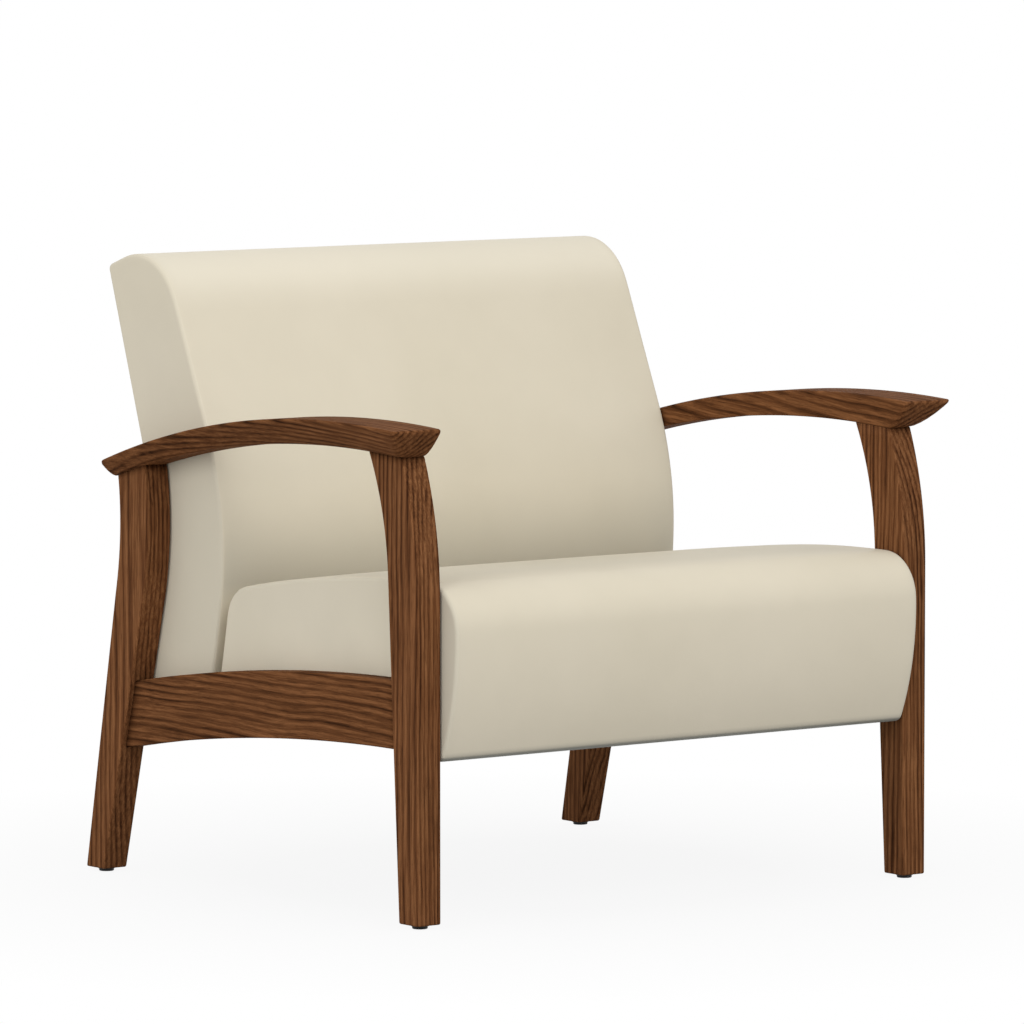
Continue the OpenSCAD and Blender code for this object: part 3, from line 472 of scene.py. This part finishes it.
def arm_place(u, v, w):
    """Points of an arm: its front and outer sides reach out over the legs towards the top. The tips
    reach a little further than the arm itself, by what their rounding takes off."""
    reach = w ** ARM["bevel"]
    y0 = ARM_Y0 - (ARM["nose"] + TIP_ROUND) * reach
    y1 = ARM_Y1 + ARM["tail"] + TIP_ROUND * reach
    y = y0 + (y1 - y0) * v
    over_front, over_rear = ARM["over_front"], ARM["over_rear"]
    over = (over_front + TIP_ROUND * (1 - v) + (over_rear - over_front) * v) * reach
    z0, z1 = arm_under_z(y), arm_top_z(y)
    return Vector((LEG_X0 + (LEG_W + over) * u, y, z0 + (z1 - z0) * w))


FIT_TURNS = 4


def stretcher_place(u, v, w):
    """Points of a stretcher, found by turns between the legs and between its edges."""
    z = STRETCHER["low_h"] + (STRETCHER["top_h"] - STRETCHER["low_h"]) * w
    for _ in range(FIT_TURNS):
        y0, y1 = front_leg_y(z)[1], rear_leg_y(z)[0]
        y = y0 + (y1 - y0) * v
        z0, z1 = stretcher_z(y)
        z = z0 + (z1 - z0) * w
    return Vector((LEG_X0 + STRETCHER["t"] * u, y, z))


# How the grain is turned in a piece
UPRIGHT = (math.radians(0.8), math.radians(-0.6), 0)
LYING = (math.radians(-90), 0, math.radians(1))
FALLING = (math.radians(-85), 0, math.radians(1))

# Sides of a block, and the radii of edges that aren't eased like the rest
INNER, OUTER, FRONT, REAR, BOTTOM, TOP = (0, 0), (0, 1), (1, 0), (1, 1), (2, 0), (2, 1)
ARM_RADII = [
    ((OUTER, FRONT), 9.0), ((INNER, FRONT), 6.5), ((OUTER, REAR), 5.0), ((TOP, FRONT), 7.5),
    ((TOP, REAR), 7.5), ((TOP, OUTER), 6.0), ((TOP, INNER), 4.0), ((BOTTOM,), 1.6),
]
SQUARE_TOP = [((TOP,), 0)]
SQUARE_ENDS = [((FRONT,), 0), ((REAR,), 0)]

LEG_CUTS = [], even(3), even(44)
ARM_CUTS = even(2), even(36), [0.07, 0.17, 0.32, 0.52, 0.75]
STRETCHER_CUTS = [], even(30), even(3)

# Where the line runs that an arm's growth rings lie round, in metres
ARM_PITH = {"left": (-0.3, 0, 0.55), "right": (0.49, 0, 0.53)}
for where, side in SIDES.items():
    x = side * (LEG_X0 + LEG_W / 2) * MM
    wood = {
        "front_leg": solid_wood("walnut_front_leg_" + where, (x - side * 0.11, -0.4, 0.2),
                                UPRIGHT, LEG_WALNUT, wave=0.008, ring=50.0),
        "rear_leg": solid_wood("walnut_rear_leg_" + where, (x - side * 0.12, 0.24, 0.1),
                               UPRIGHT, LEG_WALNUT, wave=0.010, ring=46.0),
        "arm": solid_wood("walnut_arm_" + where, ARM_PITH[where],
                          FALLING, ARM_WALNUT, wave=0.014, ring=39.0),
        "side_stretcher": solid_wood("walnut_stretcher_" + where, (x - side * 0.05, 0.1, 0.03),
                                     LYING, ARM_WALNUT, wave=0.018, ring=31.0),
    }
    made = {
        "front_leg": shaped_block(LEG_CUTS, leg_place(front_leg_y), WOOD_EASE, SQUARE_TOP),
        "rear_leg": shaped_block(LEG_CUTS, leg_place(rear_leg_y), WOOD_EASE, SQUARE_TOP),
        "arm": shaped_block(ARM_CUTS, arm_place, WOOD_EASE, ARM_RADII),
        "side_stretcher": shaped_block(STRETCHER_CUTS, stretcher_place, WOOD_EASE, SQUARE_ENDS),
    }
    for part, bm in made.items():
        node = f"{part}_{where}"
        rounded(finished(mirrored_if_left(bm, side), node + "_wood", wood[part], "chair",
                         [node]))


# ---- upholstery

def unit(v):
    return v / np.linalg.norm(v)


def run_in(p, i):
    """Direction of the outline's side that ends at corner i."""
    return unit(p[i] - p[i - 1])


def run_out(p, i):
    """Direction of the outline's side that starts at corner i."""
    return unit(p[(i + 1) % len(p)] - p[i])


def inward(v):
    """Normal that points into a clockwise outline."""
    return np.array((v[1], -v[0]))


def turn_of(p, i):
    """Less than 0 at the convex corners of a clockwise outline."""
    a, b = run_in(p, i), run_out(p, i)
    return a[0] * b[1] - a[1] * b[0]


def inset(points, radii, d):
    """The outline's corners and radii, drawn in by d."""
    p = [np.array(q, float) for q in points]
    corners, rounds = [], []
    for i, corner in enumerate(p):
        a, b = inward(run_in(p, i)), inward(run_out(p, i))
        corners.append(corner + d * (a + b) / (1 + a @ b))
        rounds.append(max(radii[i] - d, LEAST_R) if turn_of(p, i) < 0 else radii[i] + d)
    return corners, rounds


def half_turn(p, i):
    return math.acos(max(-1.0, min(1.0, run_in(p, i) @ run_out(p, i)))) / 2


ARC_STEPS = 24


def corner_arc(p, radii, i):
    """Points round a corner, its radius cut down where the sides are too short."""
    count = len(p)
    reach = [radii[k] * math.tan(half_turn(p, k)) for k in range(count)]
    before, after = (i - 1) % count, (i + 1) % count
    room = min(1.0, np.linalg.norm(p[i] - p[before]) / (reach[before] + reach[i]),
               np.linalg.norm(p[after] - p[i]) / (reach[i] + reach[after]))
    r, a = radii[i] * room, run_in(p, i)
    side = -1 if turn_of(p, i) < 0 else 1
    start = p[i] - a * r * math.tan(half_turn(p, i))
    middle = start - side * r * inward(a)
    arm = start - middle
    points = []
    for k in range(ARC_STEPS + 1):
        angle = side * 2 * half_turn(p, i) * k / ARC_STEPS
        c, s = math.cos(angle), math.sin(angle)
        points.append(middle + np.array((arm[0] * c - arm[1] * s, arm[0] * s + arm[1] * c)))
    return points


# How much length a turn of one radian counts for, when points are spaced
TURN_WEIGHT = 70.0


def spaced(path, shares):
    """Points along a path at shares of its length, closer together where it turns."""
    path = np.array(path)
    steps = np.diff(path, axis=0)
    lengths = np.linalg.norm(steps, axis=1)
    keep = lengths > 1e-9
    path, steps, lengths = np.vstack([path[:1], path[1:][keep]]), steps[keep], lengths[keep]
    ways = steps / lengths[:, None]
    turns = np.arccos(np.clip((ways[1:] * ways[:-1]).sum(1), -1, 1))
    weights = lengths.copy()
    weights[1:] += TURN_WEIGHT * turns / 2
    weights[:-1] += TURN_WEIGHT * turns / 2
    at = np.concatenate([[0], np.cumsum(weights)]) / weights.sum()
    return np.stack([np.interp(shares, at, path[:, k]) for k in range(2)], axis=1)


class SideView:
    """A cushion's outline seen from the side, as four paths round a square: front, top, rear and
    bottom, each between the middles of two corner arcs. splits names those corners."""

    def __init__(self, points, radii, splits):
        self.points, self.radii, self.splits = points, radii, splits
        self.kept = {}

    def paths(self, d, count_v, count_w):
        """The four paths, drawn in by d, in as many steps as the cushion has."""
        key = round(d, 4)
        if key not in self.kept:
            corners, rounds = inset(self.points, self.radii, d)
            arcs = [corner_arc(corners, rounds, i) for i in range(len(corners))]
            sides = []
            for start, end in zip(self.splits, self.splits[1:] + self.splits[:1]):
                half = len(arcs[start]) // 2
                path = list(arcs[start][half:])
                i = (start + 1) % len(arcs)
                while i != end:
                    path += arcs[i]
                    i = (i + 1) % len(arcs)
                sides.append(path + list(arcs[end][:half + 1]))
            v, w = np.linspace(0, 1, count_v + 1), np.linspace(0, 1, count_w + 1)
            front, top = spaced(sides[0], w), spaced(sides[1], v)
            rear, bottom = spaced(sides[2][::-1], w), spaced(sides[3][::-1], v)
            self.kept[key] = front, top, rear, bottom
        return self.kept[key]

    def at(self, d, i, j, count_v, count_w):
        """The point at step i of count_v from front to rear and step j of count_w up."""
        front, top, rear, bottom = self.paths(d, count_v, count_w)
        v, w = i / count_v, j / count_w
        level = (1 - v) * front[j] + v * rear[j]
        upright = (1 - w) * bottom[i] + w * top[i]
        corners = ((1 - v) * (1 - w) * front[0] + v * (1 - w) * rear[0]
                   + (1 - v) * w * front[-1] + v * w * rear[-1])
        return level + upright - corners


# Steps round a cushion's side edge, and the width of the even band beside it
EDGE_STEPS, EDGE_BAND = 5, 9


def cushion_form(view, count_u, count_v, count_w):
    """The cushion's closed form: the side view carried across, drawn in at its side edges."""
    stations = []
    for k in range(EDGE_STEPS + 1):
        a = math.pi / 2 * k / EDGE_STEPS
        stations.append((FORM_X - SIDE_R * (1 - math.cos(a)), SIDE_R * (1 - math.sin(a))))
    flat = FORM_X - SIDE_R
    stations = stations[:-1] + [(flat, 0.0), (flat - EDGE_BAND, 0.0)]
    inner = [(s * (flat - EDGE_BAND), 0.0) for s in np.linspace(1, -1, count_u + 1)[1:-1]]
    row = stations + inner + [(-x, d) for x, d in stations[::-1]]
    last = len(row) - 1
    bm = cut_cube(([k / last for k in range(1, last)], even(count_v), even(count_w)))
    for vert in bm.verts:
        u, v, w = vert.co
        x, d = row[last - round(u * last)]
        y, z = view.at(d, round(v * count_v), round(w * count_w), count_v, count_w)
        vert.co = (x, y, z)
    bmesh.ops.recalc_face_normals(bm, faces=bm.faces)
    return bm


def smoothstep(value, low, high):
    """0 below low, 1 above high, and a smooth rise between them."""
    t = np.clip((value - low) / (high - low), 0.0, 1.0)
    return t * t * (3 - 2 * t)


# The coarse copy's voxels in metres, the cloth's pressure, and how many frames it swells
SWELL_VOXEL, SWELL_PRESSURE, SWELL_FRAMES = 0.010, 4.0, 20
# How many points of the coarse copy move a point of the form, and the distance in metres that
# evens out their weights
NEAR_COUNT, NEAR_SOFT = 12, 0.004
# The most that a point moves sideways
SIDE_RISE = 0.3


def swollen(bm):
    """The points of a coarse copy of the form, and how far each moves as cloth under pressure."""
    scene = bpy.context.scene
    mesh = bpy.data.meshes.new("swelling")
    bm.to_mesh(mesh)
    mesh.transform(Matrix.Scale(MM, 4))
    rough = bpy.data.objects.new("swelling", mesh)
    scene.collection.objects.link(rough)
    remesh = rough.modifiers.new("voxels", "REMESH")
    remesh.mode, remesh.voxel_size = "VOXEL", SWELL_VOXEL
    bpy.context.view_layer.objects.active = rough
    with bpy.context.temp_override(object=rough, active_object=rough, selected_objects=[rough]):
        bpy.ops.object.modifier_apply(modifier=remesh.name)
    rest = np.array([v.co for v in rough.data.vertices])
    swell = rough.modifiers.new("swell", "CLOTH")
    settings = swell.settings
    settings.quality = 6
    settings.mass = 0.25
    settings.use_pressure = True
    settings.uniform_pressure_force = SWELL_PRESSURE
    settings.tension_stiffness = settings.compression_stiffness = 40
    settings.shear_stiffness = 20
    settings.bending_stiffness = 2
    settings.effector_weights.gravity = 0
    swell.collision_settings.use_collision = False
    swell.point_cache.frame_start, swell.point_cache.frame_end = 1, SWELL_FRAMES
    for step in range(1, SWELL_FRAMES + 1):
        scene.frame_set(step)
    blown = rough.evaluated_get(bpy.context.evaluated_depsgraph_get()).to_mesh()
    moves = (np.array([v.co for v in blown.vertices]) - rest) / MM
    bpy.data.objects.remove(rough)
    scene.frame_set(1)
    return rest, moves


def carried(points, rest, moves):
    """The coarse copy's moves at each point of the form, from the nearest of its points."""
    tree = KDTree(len(rest))
    for i, co in enumerate(rest):
        tree.insert(co, i)
    tree.balance()
    found = np.zeros_like(points)
    for i, co in enumerate(points):
        near = tree.find_n(Vector(co) * MM, NEAR_COUNT)
        weights = np.array([1 / (NEAR_SOFT + hit[2]) for hit in near])
        found[i] = (moves[[hit[1] for hit in near]] * weights[:, None]).sum(0) / weights.sum()
    return found


def puffed(bm, rise, share):
    """Lets the form swell like cloth under pressure. rise is the most that a point moves, and
    share how much of it each point takes."""
    bm.verts.ensure_lookup_table()
    points = np.array([v.co for v in bm.verts])
    moves = carried(points, *swollen(bm))
    size = np.linalg.norm(moves, axis=1)
    evened = np.tanh(size / (0.6 * size.max())) / np.maximum(size, 1e-6)
    moves *= (rise * evened)[:, None]
    moves *= share(points)[:, None]
    moves[:, 0] = SIDE_RISE * np.tanh(moves[:, 0] / SIDE_RISE)
    for vert, move in zip(bm.verts, moves):
        vert.co += Vector(move)
    return bm


def mark_points(piece, name, share):
    """Marks each point of a piece with a share from 0 to 1: how much painted shade or painted
    highlight the vinyl gives it."""
    points = np.array([v.co for v in piece.data.vertices]) / MM
    points[:, 1] += MID_Y
    mark = piece.data.attributes.new(name, "FLOAT", "POINT")
    mark.data.foreach_set("value", share(points).astype(np.float32))


def side_seam(x):
    """Where the cover wraps round the side panels, for a narrow line of painted shade along that
    seam.
    """
    return 1 - smoothstep(np.abs(np.abs(x) - (FORM_X - SIDE_R * 0.3)), 0.6, 2.4)


def from_side(x):
    """How far a point lies in from the upholstery's side faces."""
    return FORM_X - np.abs(x)


def seat_share(p):
    """How much of its swelling each point of the seat takes: none where it meets its frame or the
    back."""
    _, y, z = p.T
    return smoothstep(z, 235, 330) * (1 - smoothstep(y, 425, 470))


def seat_painted_shade(p):
    """How much painted shade each point of the seat takes: its turned-in underside, its side
    edges, its top, and its side faces beside the front legs."""
    x, y, z = p.T
    underside = 0.75 * (1 - smoothstep(z, 214, 219))
    top = 0.11 * smoothstep(y, 10, 90) * smoothstep(z, 375, 400) * smoothstep(from_side(x), 3, 26)
    side_face = smoothstep(np.abs(x), FORM_X - 6.5, FORM_X - 0.5)
    beside_leg = 0.22 * (1 - smoothstep(y, 0, 70)) * side_face
    return np.maximum.reduce([0.1 * side_seam(x), underside, top, beside_leg])


SEAT_VIEW = SideView(SEAT_POINTS, SEAT_RADII, [0, 2, 4, 5])
# Steps across, back and up, and how far it swells
SEAT_STEPS, SEAT_RISE = (22, 34, 20), 2.4

cream = vinyl("cream_vinyl")
seat_mesh = puffed(cushion_form(SEAT_VIEW, *SEAT_STEPS), SEAT_RISE, seat_share)
seat = finished(seat_mesh, "seat_upholstery", cream, "chair", ["seat_cover"],
                subdivide=1)
# painted shade on the seat's underside, seams, top and sides beside the front legs
mark_points(seat, "painted_shade", seat_painted_shade)


def back_rear_y(z):
    """Depth of the back's rear face, upright below its bend and leaning above it."""
    (top_y, top_z), (bend_y, bend_z) = BACK_POINTS[3:5]
    return bend_y + np.maximum(0.0, z - bend_z) * (top_y - bend_y) / (top_z - bend_z)


def back_share(p):
    """How much of its swelling each point of the back takes: none at its foot, at its rear face
    and at its top."""
    _, y, z = p.T
    before_rear = smoothstep(back_rear_y(z) - y, 20, 90)
    return smoothstep(z, BACK_FOOT_Z, SEAT_TOP_Z) * before_rear * (1 - smoothstep(z, 700, 800))


def back_painted_shade(p):
    """How much painted shade each point of the back takes: its foot, its side edges, more of it
    lower down, and its front face down in the crease behind the seat."""
    x, y, z = p.T
    foot = 0.75 * (1 - smoothstep(z, 223, 232))
    edges = (0.08 + 0.1 * (1 - smoothstep(z, 420, 640))) * side_seam(x)
    level = 0.28 * smoothstep(z, 370, 396) * (1 - smoothstep(z, 396, 520))
    crease = level * (1 - smoothstep(y, 530, 600)) * smoothstep(from_side(x), 1, 7)
    return np.maximum.reduce([edges, foot, crease])


def back_painted_highlight(p):
    """How much painted highlight each point of the back takes: most over its top."""
    x, _, z = p.T
    return 0.45 * smoothstep(z, 745, 806) * smoothstep(from_side(x), 1, 8)


# The outer panel's distance from the back's edges, how far its rim stands out of the rear face and
# its middle out of its rim, how deep it goes in, and its edges' radius
PANEL_MARGIN, PANEL_PROUD, PANEL_PLUMP, PANEL_DEPTH, PANEL_R = 26, 1.4, 1.3, 4.2, 2.2
PANEL_COLUMNS, PANEL_ROWS = 20, 24
RECESS = 5.0


def recessed(bm):
    """Sets the back's rear face deeper where the outer panel covers it."""
    panel_x = FORM_X - PANEL_MARGIN
    for vert in bm.verts:
        x, y, z = vert.co
        across = 1 - smoothstep(abs(x), panel_x - 24, panel_x - 4)
        upright = smoothstep(z, 252, 272) * (1 - smoothstep(z, 755, 778))
        if y > back_rear_y(z) - 12:
            vert.co.y -= RECESS * (across * upright)
    return bm


BACK_VIEW = SideView(BACK_POINTS, BACK_RADII, [0, 2, 3, 5])
BACK_STEPS, BACK_RISE = (22, 16, 40), 4.4

back_mesh = recessed(puffed(cushion_form(BACK_VIEW, *BACK_STEPS), BACK_RISE, back_share))
back = finished(back_mesh, "back_upholstery", cream, "chair", ["back_cover"],
                subdivide=1)
# painted shade on the back's foot, seams and the crease behind the seat
mark_points(back, "painted_shade", back_painted_shade)
# painted highlight over the back's top
mark_points(back, "painted_highlight", back_painted_highlight)


def rear_face_path():
    """The back's rear face between the outer panel's bottom and top edges."""
    corners, rounds = inset(BACK_POINTS, BACK_RADII, 0)
    top, bend, foot = (corner_arc(corners, rounds, i) for i in (3, 4, 5))
    path = np.array(top[-1:] + bend + foot[:1])[::-1]
    lengths = np.concatenate([[0], np.cumsum(np.linalg.norm(np.diff(path, axis=0), axis=1))])
    low = BACK_FOOT_Z + PANEL_MARGIN - path[0][1]
    high = lengths[-1] - PANEL_MARGIN + BACK_RADII[3]
    at = np.linspace(low, high, PANEL_ROWS + 1)
    return np.stack([np.interp(at, lengths, path[:, k]) for k in range(2)], axis=1)


panel_path = rear_face_path()


def panel_place(u, v, w):
    """Points of the outer panel, which follows the rear face and is a little plump."""
    j = round(w * PANEL_ROWS)
    ahead, behind = panel_path[min(j + 1, PANEL_ROWS)], panel_path[max(j - 1, 0)]
    outward = -inward(unit(behind - ahead))
    plump = PANEL_PLUMP * (1 - (2 * u - 1) ** 4) * (1 - (2 * w - 1) ** 4)
    depth = -PANEL_DEPTH + (PANEL_DEPTH + PANEL_PROUD + plump) * v
    y, z = panel_path[j] + outward * depth
    return Vector(((FORM_X - PANEL_MARGIN) * (2 * u - 1), y, z))


PANEL_CUTS = even(PANEL_COLUMNS), [0.5], even(PANEL_ROWS)
panel = finished(shaped_block(PANEL_CUTS, panel_place, PANEL_R), "back_outer_upholstery", cream,
                 "chair", ["back_outer_panel"])
rounded(panel)


# ---- dust cover

DUST = dict(x=360.0, y0=67.0, y1=472.0, z=219.6, sag=2.4, columns=36, rows=24)
DUST_THICKNESS = 0.0009


def dust_cover():
    """Thin black cloth stretched under the seat frame, sagging a little."""
    bm = bmesh.new()
    bmesh.ops.create_grid(bm, x_segments=DUST["columns"], y_segments=DUST["rows"], size=1.0)
    middle, half = (DUST["y0"] + DUST["y1"]) / 2, (DUST["y1"] - DUST["y0"]) / 2
    for vert in bm.verts:
        x, y, _ = vert.co
        hang = (1 - x ** 4) * (1 - y ** 4)
        vert.co = (DUST["x"] * x, middle + half * y, DUST["z"] - DUST["sag"] * hang)
    return bm


dust = finished(dust_cover(), "seat_dust_cloth", cloth("dust_cloth", "141415", "2a2a2c", 320.0),
                "chair", ["seat_dust_cover"])
thick = dust.modifiers.new("thickness", "SOLIDIFY")
thick.thickness, thick.offset = DUST_THICKNESS, 0


# ---- glides

# Half of a foot's section, as radius and height
FOOT_SECTION = [
    (0, 0.2), (6.5, 0.0), (9.1, 0.15), (9.9, 0.8), (10.0, 3.2), (11.2, 3.5), (11.5, 3.9),
    (11.5, 4.8), (11.2, 5.15), (4.1, 5.2),
]
FOOT_STEPS = 48


def glide_foot(x, y):
    """A moulded foot with a rounded tread and a thin flange, turned from half its section."""
    bm = bmesh.new()
    verts = [bm.verts.new((r, 0, z)) for r, z in FOOT_SECTION]
    edges = [bm.edges.new(pair) for pair in zip(verts, verts[1:])]
    bmesh.ops.spin(bm, geom=verts + edges, cent=(0, 0, 0), axis=(0, 0, 1), angle=2 * math.pi,
                   steps=FOOT_STEPS, use_merge=True)
    bmesh.ops.remove_doubles(bm, verts=bm.verts, dist=1e-4)
    bmesh.ops.recalc_face_normals(bm, faces=bm.faces)
    bmesh.ops.translate(bm, vec=(x, y, 0), verts=bm.verts)
    return bm


plastic = black_plastic("black_plastic")
FOOT_YS = {"front": FRONT_LEG["foot_d"] / 2, "rear": sum(rear_leg_y(GLIDE_H)) / 2}
for end, y in FOOT_YS.items():
    for where, side in SIDES.items():
        name = f"{end}_{where}"
        finished(glide_foot(side * (LEG_X0 + LEG_W / 2), y), f"glide_{name}_foot", plastic,
                 f"glide_{name}", [f"glide_foot_{name}"])


# ---- what the CAD model keeps

zinc = metal("zinc_plate", "b9bcbf", "8d9194", 0.28)
CAD_FINISHES = [
    (beech("frame_board", (0, 0.1, 0.2), (0, math.radians(90), 0)),
     ["seat_front_board", "seat_rear_board", "back_top_board", "back_lumbar_board",
      "back_bottom_board"]),
    (beech("frame_side_board", (0.3, 0, 0.2), LYING),
     ["seat_side_board_left", "seat_side_board_right", "seat_corner_blocks"]),
    (beech("frame_stile", (0.3, 0.2, 0.2)),
     ["back_stile_left", "back_stile_right", "arm_dowels", "stretcher_dowels"]),
    (foam("cushion_foam"), ["seat_foam", "back_foam"]),
    (cloth("felt_pad", "34322f", "5a5650", 700.0), ["seat_insulator"]),
    (cloth("jute_webbing", "4a3b28", "8d7a5b", 260.0), ["back_webbing"]),
    (metal("spring_wire", "6b6f73", "3f4245", 0.34), ["seat_springs"]),
    (metal("painted_tube", "1f2123", "34373a", 0.45, painted=True),
     ["cross_beam_front", "cross_beam_rear"]),
    (metal("threaded_stud", "c3c6c8", "8f9396", 0.25, thread=True),
     [f"glide_stud_{end}_{where}" for end in FOOT_YS for where in SIDES]),
    (zinc, ["spring_clips", "glide_inserts", "frame_inserts", "frame_bolts", "bolt_washers",
            "bolt_spacers"]),
]
for material, names in CAD_FINISHES:
    for name in names:
        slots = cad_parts[name].data.materials
        for k in range(len(slots)):
            slots[k] = material


# ---- floor, light and camera

def seen_directly(tree):
    """1 for rays from the camera and for those that mirror or pass on the background."""
    path = add_node(tree, "LightPath")
    total = path.outputs["Is Camera Ray"]
    for ray in ("Is Glossy Ray", "Is Transmission Ray"):
        both = add_node(tree, "Math", {0: total, 1: path.outputs[ray]}, operation="ADD",
                        use_clamp=True)
        total = both.outputs[0]
    return total


FLOOR_HALF = 14.0
# How far from the middle the floor starts to turn white and is white, and how white it starts
FADE_FROM, FADE_TO, FADE_LEAST = 0.35, 1.15, 0.9
AMBIENT = 0.7
WHITE, GREY = (1, 1, 1, 1), (0.5, 0.5, 0.5, 1)


def floor_material():
    """A pale floor that fades to white away from the chair, where the camera sees it."""
    material = bpy.data.materials.new("pale_floor")
    material.use_nodes = True
    tree = material.node_tree
    tree.nodes.clear()
    coords = add_node(tree, "TexCoord").outputs["Object"]
    away = add_node(tree, "VectorMath", {0: coords}, operation="LENGTH").outputs["Value"]
    fade = add_node(tree, "MapRange", {
        "Value": away, "From Min": FADE_FROM, "From Max": FADE_TO, "To Min": FADE_LEAST,
        "To Max": 1.0,
    }).outputs["Result"]
    share = add_node(tree, "Math", {0: fade, 1: seen_directly(tree)}, operation="MULTIPLY")
    matt = add_node(tree, "BsdfDiffuse", {"Color": GREY})
    white = add_node(tree, "Emission", {"Color": WHITE})
    mix = add_node(tree, "MixShader", {0: share.outputs[0], 1: matt.outputs[0],
                                       2: white.outputs[0]})
    add_node(tree, "OutputMaterial", {"Surface": mix.outputs[0]})
    return material


ground = bmesh.new()
bmesh.ops.create_grid(ground, x_segments=1, y_segments=1, size=FLOOR_HALF)
floor_mesh = bpy.data.meshes.new("floor")
ground.to_mesh(floor_mesh)
ground.free()
floor_mesh.materials.append(floor_material())
floor = bpy.data.objects.new("floor", floor_mesh)
bpy.context.scene.collection.objects.link(floor)

world = bpy.data.worlds.new("studio")
world.use_nodes = True
bpy.context.scene.world = world
sky = world.node_tree
background = next(n for n in sky.nodes if n.type == "BACKGROUND")
strength = add_node(sky, "MapRange", {
    "Value": seen_directly(sky), "To Min": AMBIENT, "To Max": 1.0,
})
join(sky, background.inputs["Color"], WHITE)
join(sky, background.inputs["Strength"], strength.outputs["Result"])


def aimed(thing, place, way):
    """Puts a lamp or the camera in its place, looking along a way, and links it."""
    thing.location = place
    thing.rotation_euler = way.to_track_quat("-Z", "Y").to_euler()
    bpy.context.scene.collection.objects.link(thing)


def softbox(name, place, aim, size, watts):
    """A rectangular lamp that shines from a place at another."""
    data = bpy.data.lights.new(name, "AREA")
    data.shape, data.size, data.size_y, data.energy = "RECTANGLE", *size, watts
    aimed(bpy.data.objects.new(name, data), place, Vector(aim) - Vector(place))


softbox("key", (-0.7, -3.75, 3.6), (0, 0, 0.45), (3.8, 2.8), 80)
softbox("fill", (-4.0, -0.9, 1.7), (0, 0, 0.4), (3.2, 2.6), 50)

# The camera that was fitted to the photograph
AZIMUTH, ELEVATION, DISTANCE = math.radians(-37.41), math.radians(5.02), 10.425
TARGET = Vector((0.0009, 0.0004, 0.4834))
FOCAL_LENGTH, SENSOR_WIDTH = 277.4, 36.0
NEAREST, FARTHEST = 0.5, 60.0

away_from_target = Vector((
    math.sin(AZIMUTH) * math.cos(ELEVATION), -math.cos(AZIMUTH) * math.cos(ELEVATION),
    math.sin(ELEVATION),
))
lens = bpy.data.cameras.new("camera")
lens.lens, lens.sensor_width = FOCAL_LENGTH, SENSOR_WIDTH
lens.clip_start, lens.clip_end = NEAREST, FARTHEST
camera = bpy.data.objects.new("camera", lens)
aimed(camera, TARGET + away_from_target * DISTANCE, -away_from_target)
bpy.context.scene.camera = camera
bpy.context.scene.view_settings.view_transform = "Standard"
